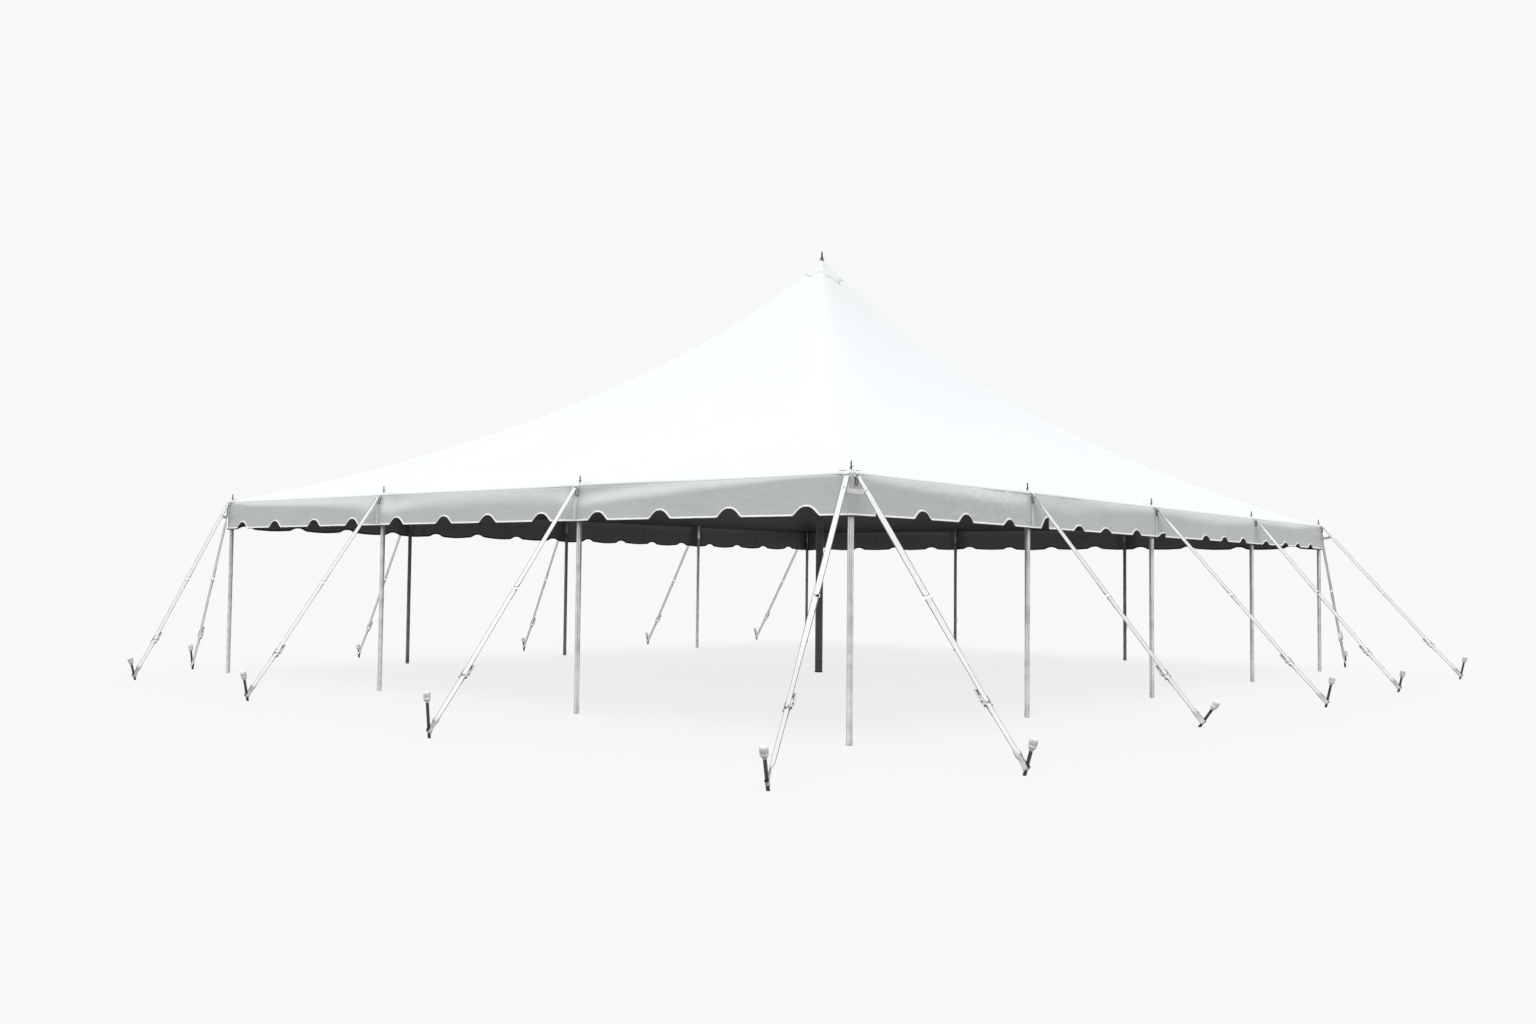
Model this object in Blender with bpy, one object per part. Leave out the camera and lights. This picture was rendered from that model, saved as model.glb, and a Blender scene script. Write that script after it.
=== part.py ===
"""A marquee tent: one concave canopy on a centre pole and fourteen side poles, held out by
webbing guys that run from the eave to leaning ground stakes.

The origin is on the ground at the foot of the centre pole. +X runs along the four-bay side,
+Y along the three-bay side, +Z up. Everything is in metres.
"""
import math

import bmesh
import bpy
from mathutils import Matrix, Vector

# Plan and heights
BAY = 3.048  # between two side poles, ten feet
BAYS_LONG = 4
BAYS_SHORT = 3
EAVE = 2.134  # top of the canopy over the side poles, seven feet
PEAK = 5.62  # top of the canopy over the centre pole

# Canopy
SHEET = 0.004
EDGE_OUT = 0.045  # from the line of the side poles out to the edge of the canopy
EDGE_IN = 0.040  # the flat band of the edge reaches this far inside that line
PEAK_FLAT = 0.032  # half the width of the flat reinforced patch on the centre pole
ROOF_CURVE = 0.955  # how strongly the slope steepens towards the peak
ROOF_POINT = 0.946  # below 1, the last rise to the peak is sharper
HIP_ROUNDING = 0.25  # softens the four hips, most of all half way up
ROOF_RINGS = 13
SPANS_PER_BAY = 4

# Valance
VALANCE_DROP = 0.350
NOTCHES_PER_BAY = 4
NOTCH_WIDTH = 0.26
NOTCH_STEPS = 8
NOTCH_HEIGHTS = {"front": 0.061, "left": 0.075, "back": 0.034, "right": 0.034}
NOTCH_SHIFTS = {"front": -0.16, "back": -0.16, "left": 0.0, "right": 0.0}  # along the side
SINGLE_NOTCHES = {  # notches cut off the even steps: how far along the side, and their height
    ("front", 0): (0.015, 0.085),
    ("front", 1): (-0.08, 0.085),
    ("front", 2): (-0.15, 0.092),
    ("front", 3): (-0.12, 0.069),
    ("front", 4): (-0.04, 0.118),
    ("front", 5): (-0.11, 0.076),
    ("front", 6): (-0.25, 0.057),
    ("front", 7): (-0.20, 0.071),
    ("front", 8): (-0.20, 0.075),
    ("front", 9): (0.25, 0.055),
    ("front", 10): (0.10, 0.054),
    ("front", 11): (0.03, 0.056),
    ("front", 12): (0.22, 0.045),
    ("front", 13): (0.22, 0.045),
    ("front", 14): (0.0, 0.045),
    ("front", 15): (-0.10, 0.050),
    ("left", 6): (-0.09, 0.075),
    ("left", 7): (-0.08, 0.075),
    ("left", 8): (-0.05, 0.075),
    ("left", 9): (-0.06, 0.075),
}

# Poles
POLE_RADIUS = 0.025
POLE_SIDES = 12
FOOT_RADIUS = 0.0265
FOOT_HEIGHT = 0.060
PIN_RADIUS = 0.008
PIN_ABOVE = 0.080
CENTRE_RADIUS = 0.050
CENTRE_SIDES = 16
CENTRE_FOOT_RADIUS = 0.056
CENTRE_JOINT = 2.75  # the sleeve that joins its two lengths
SPIKE_RADIUS = 0.012
SPIKE_ABOVE = 0.100
HOLE_CLEARANCE = 0.0006

# Guys
STRAP_HALF = 0.025
STRAP_THICK = 0.004
GUY_TOP_BELOW_EAVE = 0.026
GUY_FOOT_UP_STAKE = 0.050
RING_LENGTH = 0.060
JOINT_AT = 0.45  # parts of the guy's length
JOINT_LENGTH = 0.070
RATCHET_AT = 0.755
RATCHET_LENGTH = 0.160
RATCHET_HALF = 0.034
TWIST_FROM = 0.070  # from here to the next distance the webbing turns about its own line
TWIST_TO = 0.300
UPRIGHT_FROM = 0.160  # and from here above the stake to the next one it turns upright
UPRIGHT_TO = 0.050

# Stakes
STAKE_RADIUS = 0.0125
STAKE_SIDES = 12
CAP_RADIUS = 0.029
CAP_HEIGHT = 0.088
STAKE_BELOW = 0.10  # made this far into the ground, then cut off level with it

GAP = 0.0003  # between solids that touch

# Where each stake stands: out from the side poles, along the side (+X or +Y), the length that
# shows above the ground, its lean away from the tent in degrees, and how far the webbing of its guy
# is turned about its own line, also in degrees.
STAKES = {
    "front": [
        (1.66, -0.40, 0.27, 18, -30),
        (1.42, 0.48, 0.28, 33, -40),
        (1.67, 0.41, 0.33, 12, -40),
        (1.72, -0.13, 0.27, 12, -35),
        (1.78, 0.00, 0.32, 12, -42),
    ],
    "left": [
        (2.15, -0.85, 0.31, 22, -8),
        (2.10, -0.50, 0.37, 7, 3),
        (1.62, -0.07, 0.30, 12, 15),
        (1.32, -0.26, 0.275, 17, 15),
    ],
    "back": [
        (0.80, -0.03, 0.32, 13, 90),
        (1.40, 0.19, 0.20, 12, 92),
        (1.20, 0.24, 0.22, 12, 95),
        (1.30, 0.16, 0.22, 12, 95),
        (1.20, 0.00, 0.24, 12, 90),
    ],
    "right": [
        (1.30, 0.00, 0.26, 12, 65),
        (1.40, 0.58, 0.28, 12, 75),
        (1.35, 0.76, 0.28, 12, 75),
        (1.25, 0.90, 0.28, 12, 75),
    ],
}

# Side poles that stand off the even ten-foot steps, counted from low to high X or Y
POLE_SHIFTS = {
    ("front", 1): -0.07,
    ("front", 2): -0.13,
    ("front", 3): 0.13,
    ("left", 1): -0.04,
    ("left", 2): -0.06,
    ("back", 1): -0.31,
    ("back", 2): -0.33,
    ("back", 3): -0.19,
    ("right", 1): -0.15,
    ("right", 2): -0.15,
}

# Half sizes in plan
POLES_X = BAY * BAYS_LONG / 2
POLES_Y = BAY * BAYS_SHORT / 2
EDGE_X = POLES_X + EDGE_OUT
EDGE_Y = POLES_Y + EDGE_OUT
SLOPE_X = POLES_X - EDGE_IN
SLOPE_Y = POLES_Y - EDGE_IN

# Each side: the way out of the tent, the way along it, and the half sizes to match
SIDES = {
    "front": (Vector((0, -1, 0)), Vector((1, 0, 0)), POLES_Y, POLES_X, BAYS_LONG),
    "back": (Vector((0, 1, 0)), Vector((1, 0, 0)), POLES_Y, POLES_X, BAYS_LONG),
    "left": (Vector((-1, 0, 0)), Vector((0, 1, 0)), POLES_X, POLES_Y, BAYS_SHORT),
    "right": (Vector((1, 0, 0)), Vector((0, 1, 0)), POLES_X, POLES_Y, BAYS_SHORT),
}


def clear_scene():
    for item in list(bpy.data.objects):
        bpy.data.objects.remove(item, do_unlink=True)


def principled(name, colour, roughness, metallic=0.0):
    made = bpy.data.materials.new(name)
    made.use_nodes = True
    shader = made.node_tree.nodes["Principled BSDF"]
    shader.inputs["Base Color"].default_value = (*colour, 1)
    shader.inputs["Roughness"].default_value = roughness
    shader.inputs["Metallic"].default_value = metallic
    return made


def add_object(name, mesh_builder, material, smooth=True):
    """Turns a bmesh into a named object and frees it."""
    bmesh.ops.recalc_face_normals(mesh_builder, faces=mesh_builder.faces)
    if mesh_builder.calc_volume(signed=True) < 0:
        bmesh.ops.reverse_faces(mesh_builder, faces=mesh_builder.faces)
    mesh = bpy.data.meshes.new(name)
    mesh_builder.to_mesh(mesh)
    mesh_builder.free()
    if smooth:
        mesh.shade_smooth()
        mesh.set_sharp_from_angle(angle=math.radians(35))
    mesh.materials.append(material)
    made = bpy.data.objects.new(name, mesh)
    bpy.context.scene.collection.objects.link(made)
    return made


def turned(profile, sides):
    """A solid of revolution about Z, from (radius, height) points that run from axis to axis."""
    made = bmesh.new()
    points = [made.verts.new((radius, 0, height)) for radius, height in profile]
    edges = [made.edges.new(pair) for pair in zip(points, points[1:])]
    bmesh.ops.spin(
        made,
        geom=points + edges,
        cent=(0, 0, 0),
        axis=(0, 0, 1),
        angle=math.tau,
        steps=sides,
        use_merge=True,
    )
    bmesh.ops.remove_doubles(made, verts=made.verts, dist=0.00001)
    return made


def pole_spots(side):
    """The side poles along one side, corners included, from low to high X or Y."""
    out, along, reach, half, bays = SIDES[side]
    steps = [BAY * step - half + POLE_SHIFTS.get((side, step), 0) for step in range(bays + 1)]
    return [out * reach + along * step for step in steps]


def roof_height(x, y):
    """The top of the canopy: concave from the eave to the peak, with softened hips."""
    across = abs(x) / SLOPE_X
    along = abs(y) / SLOPE_Y
    largest = max(across, along)
    if largest >= 1:
        return EAVE
    soften = HIP_ROUNDING * (1 - largest) * largest
    spread = (across + along + math.hypot(across - along, soften)) / 2
    end = math.exp(-ROOF_CURVE)
    rise = (math.exp(-ROOF_CURVE * spread**ROOF_POINT) - end) / (1 - end)
    return EAVE + (PEAK - EAVE) * max(0, rise)


def rectangle(half_x, half_y):
    """Points round a rectangle, in equal steps on each side."""
    corners = [(-half_x, -half_y), (half_x, -half_y), (half_x, half_y), (-half_x, half_y)]
    steps = [BAYS_LONG * SPANS_PER_BAY, BAYS_SHORT * SPANS_PER_BAY] * 2
    points = []
    for index, (start, count) in enumerate(zip(corners, steps)):
        end = corners[(index + 1) % 4]
        for step in range(count):
            part = step / count
            points.append((start[0] + (end[0] - start[0]) * part, start[1] + (end[1] - start[1]) * part))
    return points


def roof_rings():
    """Rings of points from the edge of the canopy up to the flat patch at the peak."""
    rings = [
        [(x, y, EAVE) for x, y in rectangle(EDGE_X, EDGE_Y)],
        [(x, y, EAVE) for x, y in rectangle(SLOPE_X, SLOPE_Y)],
    ]
    foot = rectangle(SLOPE_X, SLOPE_Y)
    patch = rectangle(PEAK_FLAT, PEAK_FLAT)
    for step in range(1, ROOF_RINGS):
        size = (1 - step / ROOF_RINGS) ** 1.35
        rings.append([(x * size, y * size, roof_height(x * size, y * size)) for x, y in foot])
    rings.append([(x, y, PEAK) for x, y in patch])
    return rings


def canopy_roof(material, holes):
    """One sheet over everything, with an eyelet for each pin."""
    made = bmesh.new()
    skins = []
    for drop in (0, -SHEET):
        rings = [[made.verts.new((x, y, z + drop)) for x, y, z in ring] for ring in roof_rings()]
        for lower, upper in zip(rings, rings[1:]):
            for index in range(len(lower)):
                after = (index + 1) % len(lower)
                made.faces.new((lower[index], lower[after], upper[after], upper[index]))
        made.faces.new(rings[-1])
        skins.append(rings)
    top, bottom = skins[0][0], skins[1][0]
    for index in range(len(top)):
        after = (index + 1) % len(top)
        made.faces.new((top[index], bottom[index], bottom[after], top[after]))
    roof = add_object("canopy_roof", made, material)
    cut = roof.modifiers.new("eyelets", "BOOLEAN")
    cut.operation = "DIFFERENCE"
    cut.object = holes
    return roof


def eyelet_cutters():
    """Upright cylinders where the pins pass through the canopy. A guide, not a part."""
    made = bmesh.new()
    spots = [(spot, PIN_RADIUS, EAVE) for spot in all_pole_spots()]
    spots.append((Vector(), SPIKE_RADIUS, PEAK))
    for spot, radius, height in spots:
        bmesh.ops.create_cone(
            made,
            cap_ends=True,
            segments=POLE_SIDES,
            radius1=radius + HOLE_CLEARANCE,
            radius2=radius + HOLE_CLEARANCE,
            depth=10 * SHEET,
            matrix=Matrix.Translation(spot + Vector((0, 0, height))),
        )
    cutters = add_object("eyelet_cutters", made, None, smooth=False)
    cutters.hide_render = True
    cutters.display_type = "WIRE"
    return cutters


def all_pole_spots():
    left_and_right = [spot for side in ("left", "right") for spot in pole_spots(side)[1:-1]]
    return pole_spots("front") + pole_spots("back") + left_and_right


def side_pole(name, spot, material):
    """A tube with a foot cap and, on top, the pin that carries the canopy's eyelet."""
    top = EAVE - SHEET - GAP
    profile = [
        (0, 0),
        (FOOT_RADIUS - 0.007, 0),
        (FOOT_RADIUS, 0.009),
        (FOOT_RADIUS, FOOT_HEIGHT),
        (POLE_RADIUS, FOOT_HEIGHT + 0.001),
        (POLE_RADIUS, top - 0.005),
        (POLE_RADIUS - 0.005, top),
        (PIN_RADIUS, top),
        (PIN_RADIUS, EAVE + PIN_ABOVE - 0.008),
        (PIN_RADIUS - 0.004, EAVE + PIN_ABOVE),
        (0, EAVE + PIN_ABOVE),
    ]
    pole = add_object(name, turned(profile, POLE_SIDES), material)
    pole.location = spot
    return pole


def centre_pole(material):
    """Two lengths joined by a sleeve, on a round foot plate, with a spike through the peak."""
    top = PEAK - SHEET - GAP
    sleeve = CENTRE_RADIUS + 0.006
    profile = [
        (0, 0),
        (CENTRE_FOOT_RADIUS, 0),
        (CENTRE_FOOT_RADIUS, 0.010),
        (CENTRE_RADIUS, 0.014),
        (CENTRE_RADIUS, CENTRE_JOINT - 0.15),
        (sleeve, CENTRE_JOINT - 0.148),
        (sleeve, CENTRE_JOINT + 0.148),
        (CENTRE_RADIUS, CENTRE_JOINT + 0.15),
        (CENTRE_RADIUS, top - 0.14),
        (CENTRE_RADIUS * 0.55, top - 0.04),
        (CENTRE_RADIUS * 0.50, top),
        (SPIKE_RADIUS, top),
        (SPIKE_RADIUS, PEAK + SPIKE_ABOVE - 0.02),
        (SPIKE_RADIUS * 0.4, PEAK + SPIKE_ABOVE),
        (0, PEAK + SPIKE_ABOVE),
    ]
    return add_object("centre_pole", turned(profile, CENTRE_SIDES), material)


def hem_line(side, half, bays):
    """The lower edge of a valance from one end to the other: flat lobes with arched notches."""
    notches = bays * NOTCHES_PER_BAY
    spacing = BAY / NOTCHES_PER_BAY
    points = [(-half, 0)]
    for index in range(notches):
        moved, height = SINGLE_NOTCHES.get((side, index), (0, NOTCH_HEIGHTS[side]))
        middle = (index + 0.5 - notches / 2) * spacing + NOTCH_SHIFTS[side] + moved
        for step in range(NOTCH_STEPS + 1):
            part = 2 * step / NOTCH_STEPS - 1
            rise = height * (1 - abs(part) ** 2.5) ** 1.6
            points.append((middle + NOTCH_WIDTH * part / 2, rise))
    points.append((half, 0))
    return points


def valance(side, material):
    """The band that hangs from the edge of the canopy, cut along its hem."""
    out, along, reach, half, bays = SIDES[side]
    outer = reach + EDGE_OUT
    end = half + EDGE_OUT
    if bays == BAYS_SHORT:
        end -= SHEET + GAP
    top = EAVE - SHEET - GAP
    hem = EAVE - VALANCE_DROP
    made = bmesh.new()
    outline = [(end, top), (-end, top)]
    outline = [(along_at, hem + rise) for along_at, rise in hem_line(side, end, bays)] + outline
    face = made.faces.new([made.verts.new(out * outer + along * at + Vector((0, 0, z))) for at, z in outline])
    thick = bmesh.ops.extrude_face_region(made, geom=[face])
    moved = [item for item in thick["geom"] if isinstance(item, bmesh.types.BMVert)]
    bmesh.ops.translate(made, verts=moved, vec=-out * SHEET)
    return add_object("valance_" + side, made, material, smooth=False)


def stake_frame(side, index):
    """Where a stake meets the ground, its axis, the way square to it and out, and its length."""
    out, along, reach, _, _ = SIDES[side]
    far, aside, showing, lean, _ = STAKES[side][index]
    pole = pole_spots(side)[index]
    ground = pole + out * far + along * aside
    level = (ground - pole).normalized()
    upright = Vector((0, 0, 1))
    angle = math.radians(lean)
    axis = level * math.sin(angle) + upright * math.cos(angle)
    away = level * math.cos(angle) - upright * math.sin(angle)
    return ground, axis, away, showing


def stake(side, index, material):
    """A steel bar driven at a lean, with a plastic safety cap, cut off level with the ground."""
    ground, axis, away, showing = stake_frame(side, index)
    cap_foot = showing - CAP_HEIGHT
    profile = [
        (0, -STAKE_BELOW),
        (STAKE_RADIUS, -STAKE_BELOW),
        (STAKE_RADIUS, cap_foot),
        (STAKE_RADIUS + 0.004, cap_foot),
        (CAP_RADIUS, cap_foot + 0.020),
        (CAP_RADIUS, showing - 0.010),
        (CAP_RADIUS - 0.008, showing),
        (0, showing),
    ]
    made = turned(profile, STAKE_SIDES)
    turn = Matrix((away, axis.cross(away), axis)).transposed().to_4x4()
    bmesh.ops.transform(made, matrix=Matrix.Translation(ground) @ turn, verts=made.verts)
    whole = made.verts[:] + made.edges[:] + made.faces[:]
    bmesh.ops.bisect_plane(made, geom=whole, plane_co=(0, 0, 0), plane_no=(0, 0, 1), clear_inner=True)
    rim = [edge for edge in made.edges if edge.is_boundary]
    bmesh.ops.holes_fill(made, edges=rim, sides=0)
    return add_object(f"stake_{side}_{index + 1}", made, material)


def guy_sections(length, ratchet):
    """Along a guy: the distance, half width, and how far it reaches below and above its line."""
    thin = STRAP_THICK / 2
    joint = length * JOINT_AT
    strap = (STRAP_HALF, thin, thin)
    twist = [TWIST_FROM + (TWIST_TO - TWIST_FROM) * step / 6 for step in range(7)]
    foot = [length - UPRIGHT_FROM + (UPRIGHT_FROM - UPRIGHT_TO) * step / 6 for step in range(7)]
    return [
        (0, 0.030, 0.006, 0.006),
        (RING_LENGTH, 0.030, 0.006, 0.006),
        *[(far, *strap) for far in twist],
        (joint - 0.006, *strap),
        (joint, 0.030, 0.008, 0.008),
        (joint + JOINT_LENGTH, 0.030, 0.008, 0.008),
        (joint + JOINT_LENGTH + 0.006, *strap),
        (ratchet - 0.010, *strap),
        (ratchet, RATCHET_HALF, 0.018, 0.008),
        (ratchet + RATCHET_LENGTH * 0.35, RATCHET_HALF, 0.032, 0.014),
        (ratchet + RATCHET_LENGTH * 0.60, RATCHET_HALF, 0.030, 0.012),
        (ratchet + RATCHET_LENGTH, RATCHET_HALF, 0.012, 0.008),
        (ratchet + RATCHET_LENGTH + 0.010, *strap),
        *[(far, *strap) for far in foot],
        (length, *strap),
    ]


def guy_turn(far, length, turn):
    """How far the webbing is turned about its line, in radians."""
    first = min(1, max(0, (far - TWIST_FROM) / (TWIST_TO - TWIST_FROM)))
    last = min(1, max(0, (far - length + UPRIGHT_FROM) / (UPRIGHT_FROM - UPRIGHT_TO)))
    upright = 90 if turn > 0 else -90
    return math.radians(turn * first + (upright - turn) * last)


def guy(side, index, material):
    """A taut webbing guy with its ring, joining link and ratchet, from the valance to its stake."""
    out, _, _, _, _ = SIDES[side]
    ground, axis, away, _ = stake_frame(side, index)
    head = pole_spots(side)[index] + out * (EDGE_OUT + GAP)
    head.z = EAVE - GUY_TOP_BELOW_EAVE
    foot = ground + axis * GUY_FOOT_UP_STAKE - away * (STAKE_RADIUS + GAP)
    length = (foot - head).length
    line = (foot - head).normalized()
    level = line.cross(Vector((0, 0, 1))).normalized()
    square = level.cross(line)
    sections = guy_sections(length, length * RATCHET_AT)
    last = len(sections) - 1
    made = bmesh.new()
    rings = []
    for number, (far, half, under, over) in enumerate(sections):
        angle = guy_turn(far, length, STAKES[side][index][4])
        across = level * math.cos(angle) + square * math.sin(angle)
        above = square * math.cos(angle) - level * math.sin(angle)
        ring = []
        for a, b in ((-half, -under), (half, -under), (half, over), (-half, over)):
            point = head + line * far + across * a + above * b
            if number == 0:  # the top end lies flat against the valance
                point += line * ((head - point).dot(out) / line.dot(out))
            if number == last:  # the lower end lies flat against the stake
                point += line * ((foot - point).dot(away) / line.dot(away))
            ring.append(made.verts.new(point))
        rings.append(ring)
    for first, second in zip(rings, rings[1:]):
        for corner in range(4):
            after = (corner + 1) % 4
            made.faces.new((first[corner], first[after], second[after], second[corner]))
    made.faces.new(rings[0])
    made.faces.new(rings[-1])
    bmesh.ops.triangulate(made, faces=made.faces)
    return add_object(f"guy_{side}_{index + 1}", made, material, smooth=False)


def build():
    clear_scene()
    vinyl = principled("white_vinyl", (0.90, 0.93, 0.94), 0.45)
    webbing = principled("white_webbing", (0.86, 0.87, 0.87), 0.75)
    tube = principled("pole_aluminium", (0.62, 0.64, 0.65), 0.40, 0.85)
    dark = principled("centre_pole_steel", (0.12, 0.13, 0.13), 0.50, 0.60)
    steel = principled("stake_steel", (0.10, 0.10, 0.10), 0.60, 0.70)

    canopy_roof(vinyl, eyelet_cutters())
    for side in SIDES:
        valance(side, vinyl)
    centre_pole(dark)
    for side in SIDES:
        spots = list(enumerate(pole_spots(side), start=1))
        if side in ("left", "right"):  # the corner poles belong to the front and back
            spots = [(number - 1, spot) for number, spot in spots[1:-1]]
        for number, spot in spots:
            side_pole(f"pole_{side}_{number}", spot, tube)
        for index in range(len(pole_spots(side))):
            guy(side, index, webbing)
            stake(side, index, steel)


build()
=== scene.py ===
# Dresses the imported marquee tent: cloth, poles, webbing guys with ratchets, capped stakes.
import math

import bmesh
import bpy
from mathutils import Matrix, Vector, noise


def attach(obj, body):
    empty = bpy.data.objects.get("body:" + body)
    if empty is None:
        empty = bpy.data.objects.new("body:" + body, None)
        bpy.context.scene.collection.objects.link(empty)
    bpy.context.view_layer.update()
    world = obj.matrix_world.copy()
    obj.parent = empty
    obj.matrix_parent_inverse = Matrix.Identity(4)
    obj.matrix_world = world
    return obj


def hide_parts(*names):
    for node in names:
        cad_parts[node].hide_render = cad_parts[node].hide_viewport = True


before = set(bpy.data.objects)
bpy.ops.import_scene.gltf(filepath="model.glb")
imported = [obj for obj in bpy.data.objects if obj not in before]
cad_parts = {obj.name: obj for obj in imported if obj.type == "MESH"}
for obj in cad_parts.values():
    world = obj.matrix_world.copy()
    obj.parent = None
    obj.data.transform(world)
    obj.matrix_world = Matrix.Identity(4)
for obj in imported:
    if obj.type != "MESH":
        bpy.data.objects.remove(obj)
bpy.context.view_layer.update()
print("frame loaded:", len(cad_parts), "nodes")

up = Vector((0, 0, 1))

# Plan and heights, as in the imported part
tent = {
    "bay": 3.048,  # between two side poles
    "eave": 2.134,  # top of the canopy over the side poles
    "peak": 5.62,  # top of the canopy over the centre pole
    "edgeOut": 0.045,  # from the line of the side poles out to the edge of the canopy
    "edgeIn": 0.040,  # the slope starts this far inside that line
    # how far each side pole stands off the even steps, from low to high X or Y
    "poleShifts": {
        "front": (0, -0.07, -0.13, 0.13, 0),
        "back": (0, -0.31, -0.33, -0.19, 0),
        "left": (0, -0.04, -0.06, 0),
        "right": (0, -0.15, -0.15, 0),
    },
}
eave, peak, bay = tent["eave"], tent["peak"], tent["bay"]
polesX, polesY = (bay * (len(tent["poleShifts"][side]) - 1) / 2 for side in ("front", "left"))
edgeX, edgeY = polesX + tent["edgeOut"], polesY + tent["edgeOut"]
slopeX, slopeY = polesX - tent["edgeIn"], polesY - tent["edgeIn"]


def describeSide(side, out):
    out = Vector(out)
    made = {"out": out, "along": Vector((abs(out.y), abs(out.x), 0))}
    made["reach"], made["half"] = (polesY, polesX) if out.y else (polesX, polesY)  # of the poles
    made["edge"] = made["reach"] + tent["edgeOut"]  # of the cloth
    made["end"] = made["half"] + tent["edgeOut"]
    shifts = tent["poleShifts"][side]
    made["bays"] = len(shifts) - 1
    start = out * made["reach"] - made["along"] * made["half"]
    made["poles"] = [start + made["along"] * (bay * step + shift) for step, shift in enumerate(shifts)]
    made["places"] = [pole.dot(made["along"]) for pole in made["poles"]]
    return made


outward = {"front": (0, -1, 0), "back": (0, 1, 0), "left": (-1, 0, 0), "right": (1, 0, 0)}
sides = {side: describeSide(side, out) for side, out in outward.items()}


def smooth(part):  # 0 to 1 with soft ends
    part = min(1, max(0, part))
    return part * part * (3 - 2 * part)


def placing(place, x, y, z):  # the matrix that puts a model at a place, with its axes along x, y and z
    return Matrix.Translation(place) @ Matrix((x, y, z)).transposed().to_4x4()


def linked(name, data):  # a new object in the scene
    made = bpy.data.objects.new(name, data)
    bpy.context.scene.collection.objects.link(made)
    return made


# Camera where the photographer stood, outside the front left corner
view = {
    "place": (-14.7578, -10.3598, 1.3297),
    "heading": 47.9568,  # degrees from +Y towards +X
    "pitch": 2.556,
    "roll": 0.7728,
    "focalPixels": 1323.89,
    "axisLeftPixels": 109.90,  # the lens axis falls this far left of the middle of the picture
    "pictureWidth": 1536,
    "sensor": 36.0,
    "farthest": 900.0,
}


def makeCamera():
    heading, pitch, roll = (math.radians(view[key]) for key in ("heading", "pitch", "roll"))
    flat = math.cos(pitch)
    ahead = Vector((math.sin(heading) * flat, math.cos(heading) * flat, math.sin(pitch)))
    level = Vector((math.cos(heading), -math.sin(heading), 0))
    above = level.cross(ahead)
    right = level * math.cos(roll) + above * math.sin(roll)
    top = above * math.cos(roll) - level * math.sin(roll)
    lens = bpy.data.cameras.new("viewCamera")
    lens.sensor_width = view["sensor"]
    lens.lens = view["focalPixels"] / view["pictureWidth"] * view["sensor"]
    lens.shift_x = view["axisLeftPixels"] / view["pictureWidth"]
    lens.clip_end = view["farthest"]
    camera = linked("viewCamera", lens)
    camera.matrix_world = placing(view["place"], right, top, -ahead)
    bpy.context.scene.camera = camera


makeCamera()
print("camera placed")


# Shader maths: a socket that takes part in sums, and one method for every other node
class Sock:
    def __init__(self, nodes, socket):
        self.nodes, self.socket = nodes, socket

    def work(self, operation, other=0.0):
        return self.nodes.add("ShaderNodeMath", {"operation": operation}, {0: self, 1: other})

    def __add__(self, other):
        return self.work("ADD", other)

    def __sub__(self, other):
        return self.work("SUBTRACT", other)

    def __rsub__(self, other):
        return self.nodes.add("ShaderNodeMath", {"operation": "SUBTRACT"}, {0: other, 1: self})

    def __mul__(self, other):
        return self.work("MULTIPLY", other)

    def __gt__(self, other):
        return self.work("GREATER_THAN", other)

    def __lt__(self, other):
        return self.work("LESS_THAN", other)

    def __abs__(self):
        return self.work("ABSOLUTE")


class Nodes:
    def __init__(self, owner):
        owner.use_nodes = True
        self.tree = owner.node_tree
        self.owner = owner

    def add(self, kind, settings=None, sockets=None, out=0):
        node = self.tree.nodes.new(kind)
        for name, value in (settings or {}).items():
            setattr(node, name, value)
        for name, value in (sockets or {}).items():
            self.feed(node.inputs[name], value)
        return Sock(self, node.outputs[out])

    def feed(self, target, value):
        if isinstance(value, Sock):
            self.tree.links.new(value.socket, target)
        else:
            target.default_value = value

    def noise(self, where, scale, detail=2.0, stretch=None):
        if stretch:
            where = self.add("ShaderNodeMapping", {}, {"Vector": where, "Scale": stretch})
        return self.add("ShaderNodeTexNoise", {}, {"Vector": where, "Scale": scale, "Detail": detail})

    def parts(self, where):  # the X, Y and Z of a vector
        first = self.add("ShaderNodeSeparateXYZ", {}, {0: where})
        return [Sock(self, output) for output in first.socket.node.outputs]

    def blend(self, factor, under, tint):  # lays a colour over a colour or a socket
        under = under if isinstance(under, Sock) else (*under, 1)
        settings = {"data_type": "RGBA", "clamp_factor": True}
        return self.add("ShaderNodeMix", settings, {0: factor, 6: under, 7: (*tint, 1)}, out=2)

    def span(self, value, low, high):  # 0 to 1 between two values
        wires = {"Value": value, "From Min": low, "From Max": high}
        return self.add("ShaderNodeMapRange", {"clamp": True}, wires)


class Finish(Nodes):
    def __init__(self, name, colour, roughness, metallic=0.0):
        super().__init__(bpy.data.materials.new(name))
        self.shader = self.tree.nodes["Principled BSDF"]
        self.shader.inputs["Base Color"].default_value = (*colour, 1)
        self.shader.inputs["Roughness"].default_value = roughness
        self.shader.inputs["Metallic"].default_value = metallic
        self.place = self.add("ShaderNodeTexCoord", out="Object")

    def give(self, name, value):
        self.feed(self.shader.inputs[name], value)

    def bump(self, height, distance, under=None):
        sockets = {"Height": height, "Distance": distance}
        if under:
            sockets["Normal"] = under
        made = self.add("ShaderNodeBump", {}, sockets)
        self.give("Normal", made)
        return made


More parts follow.
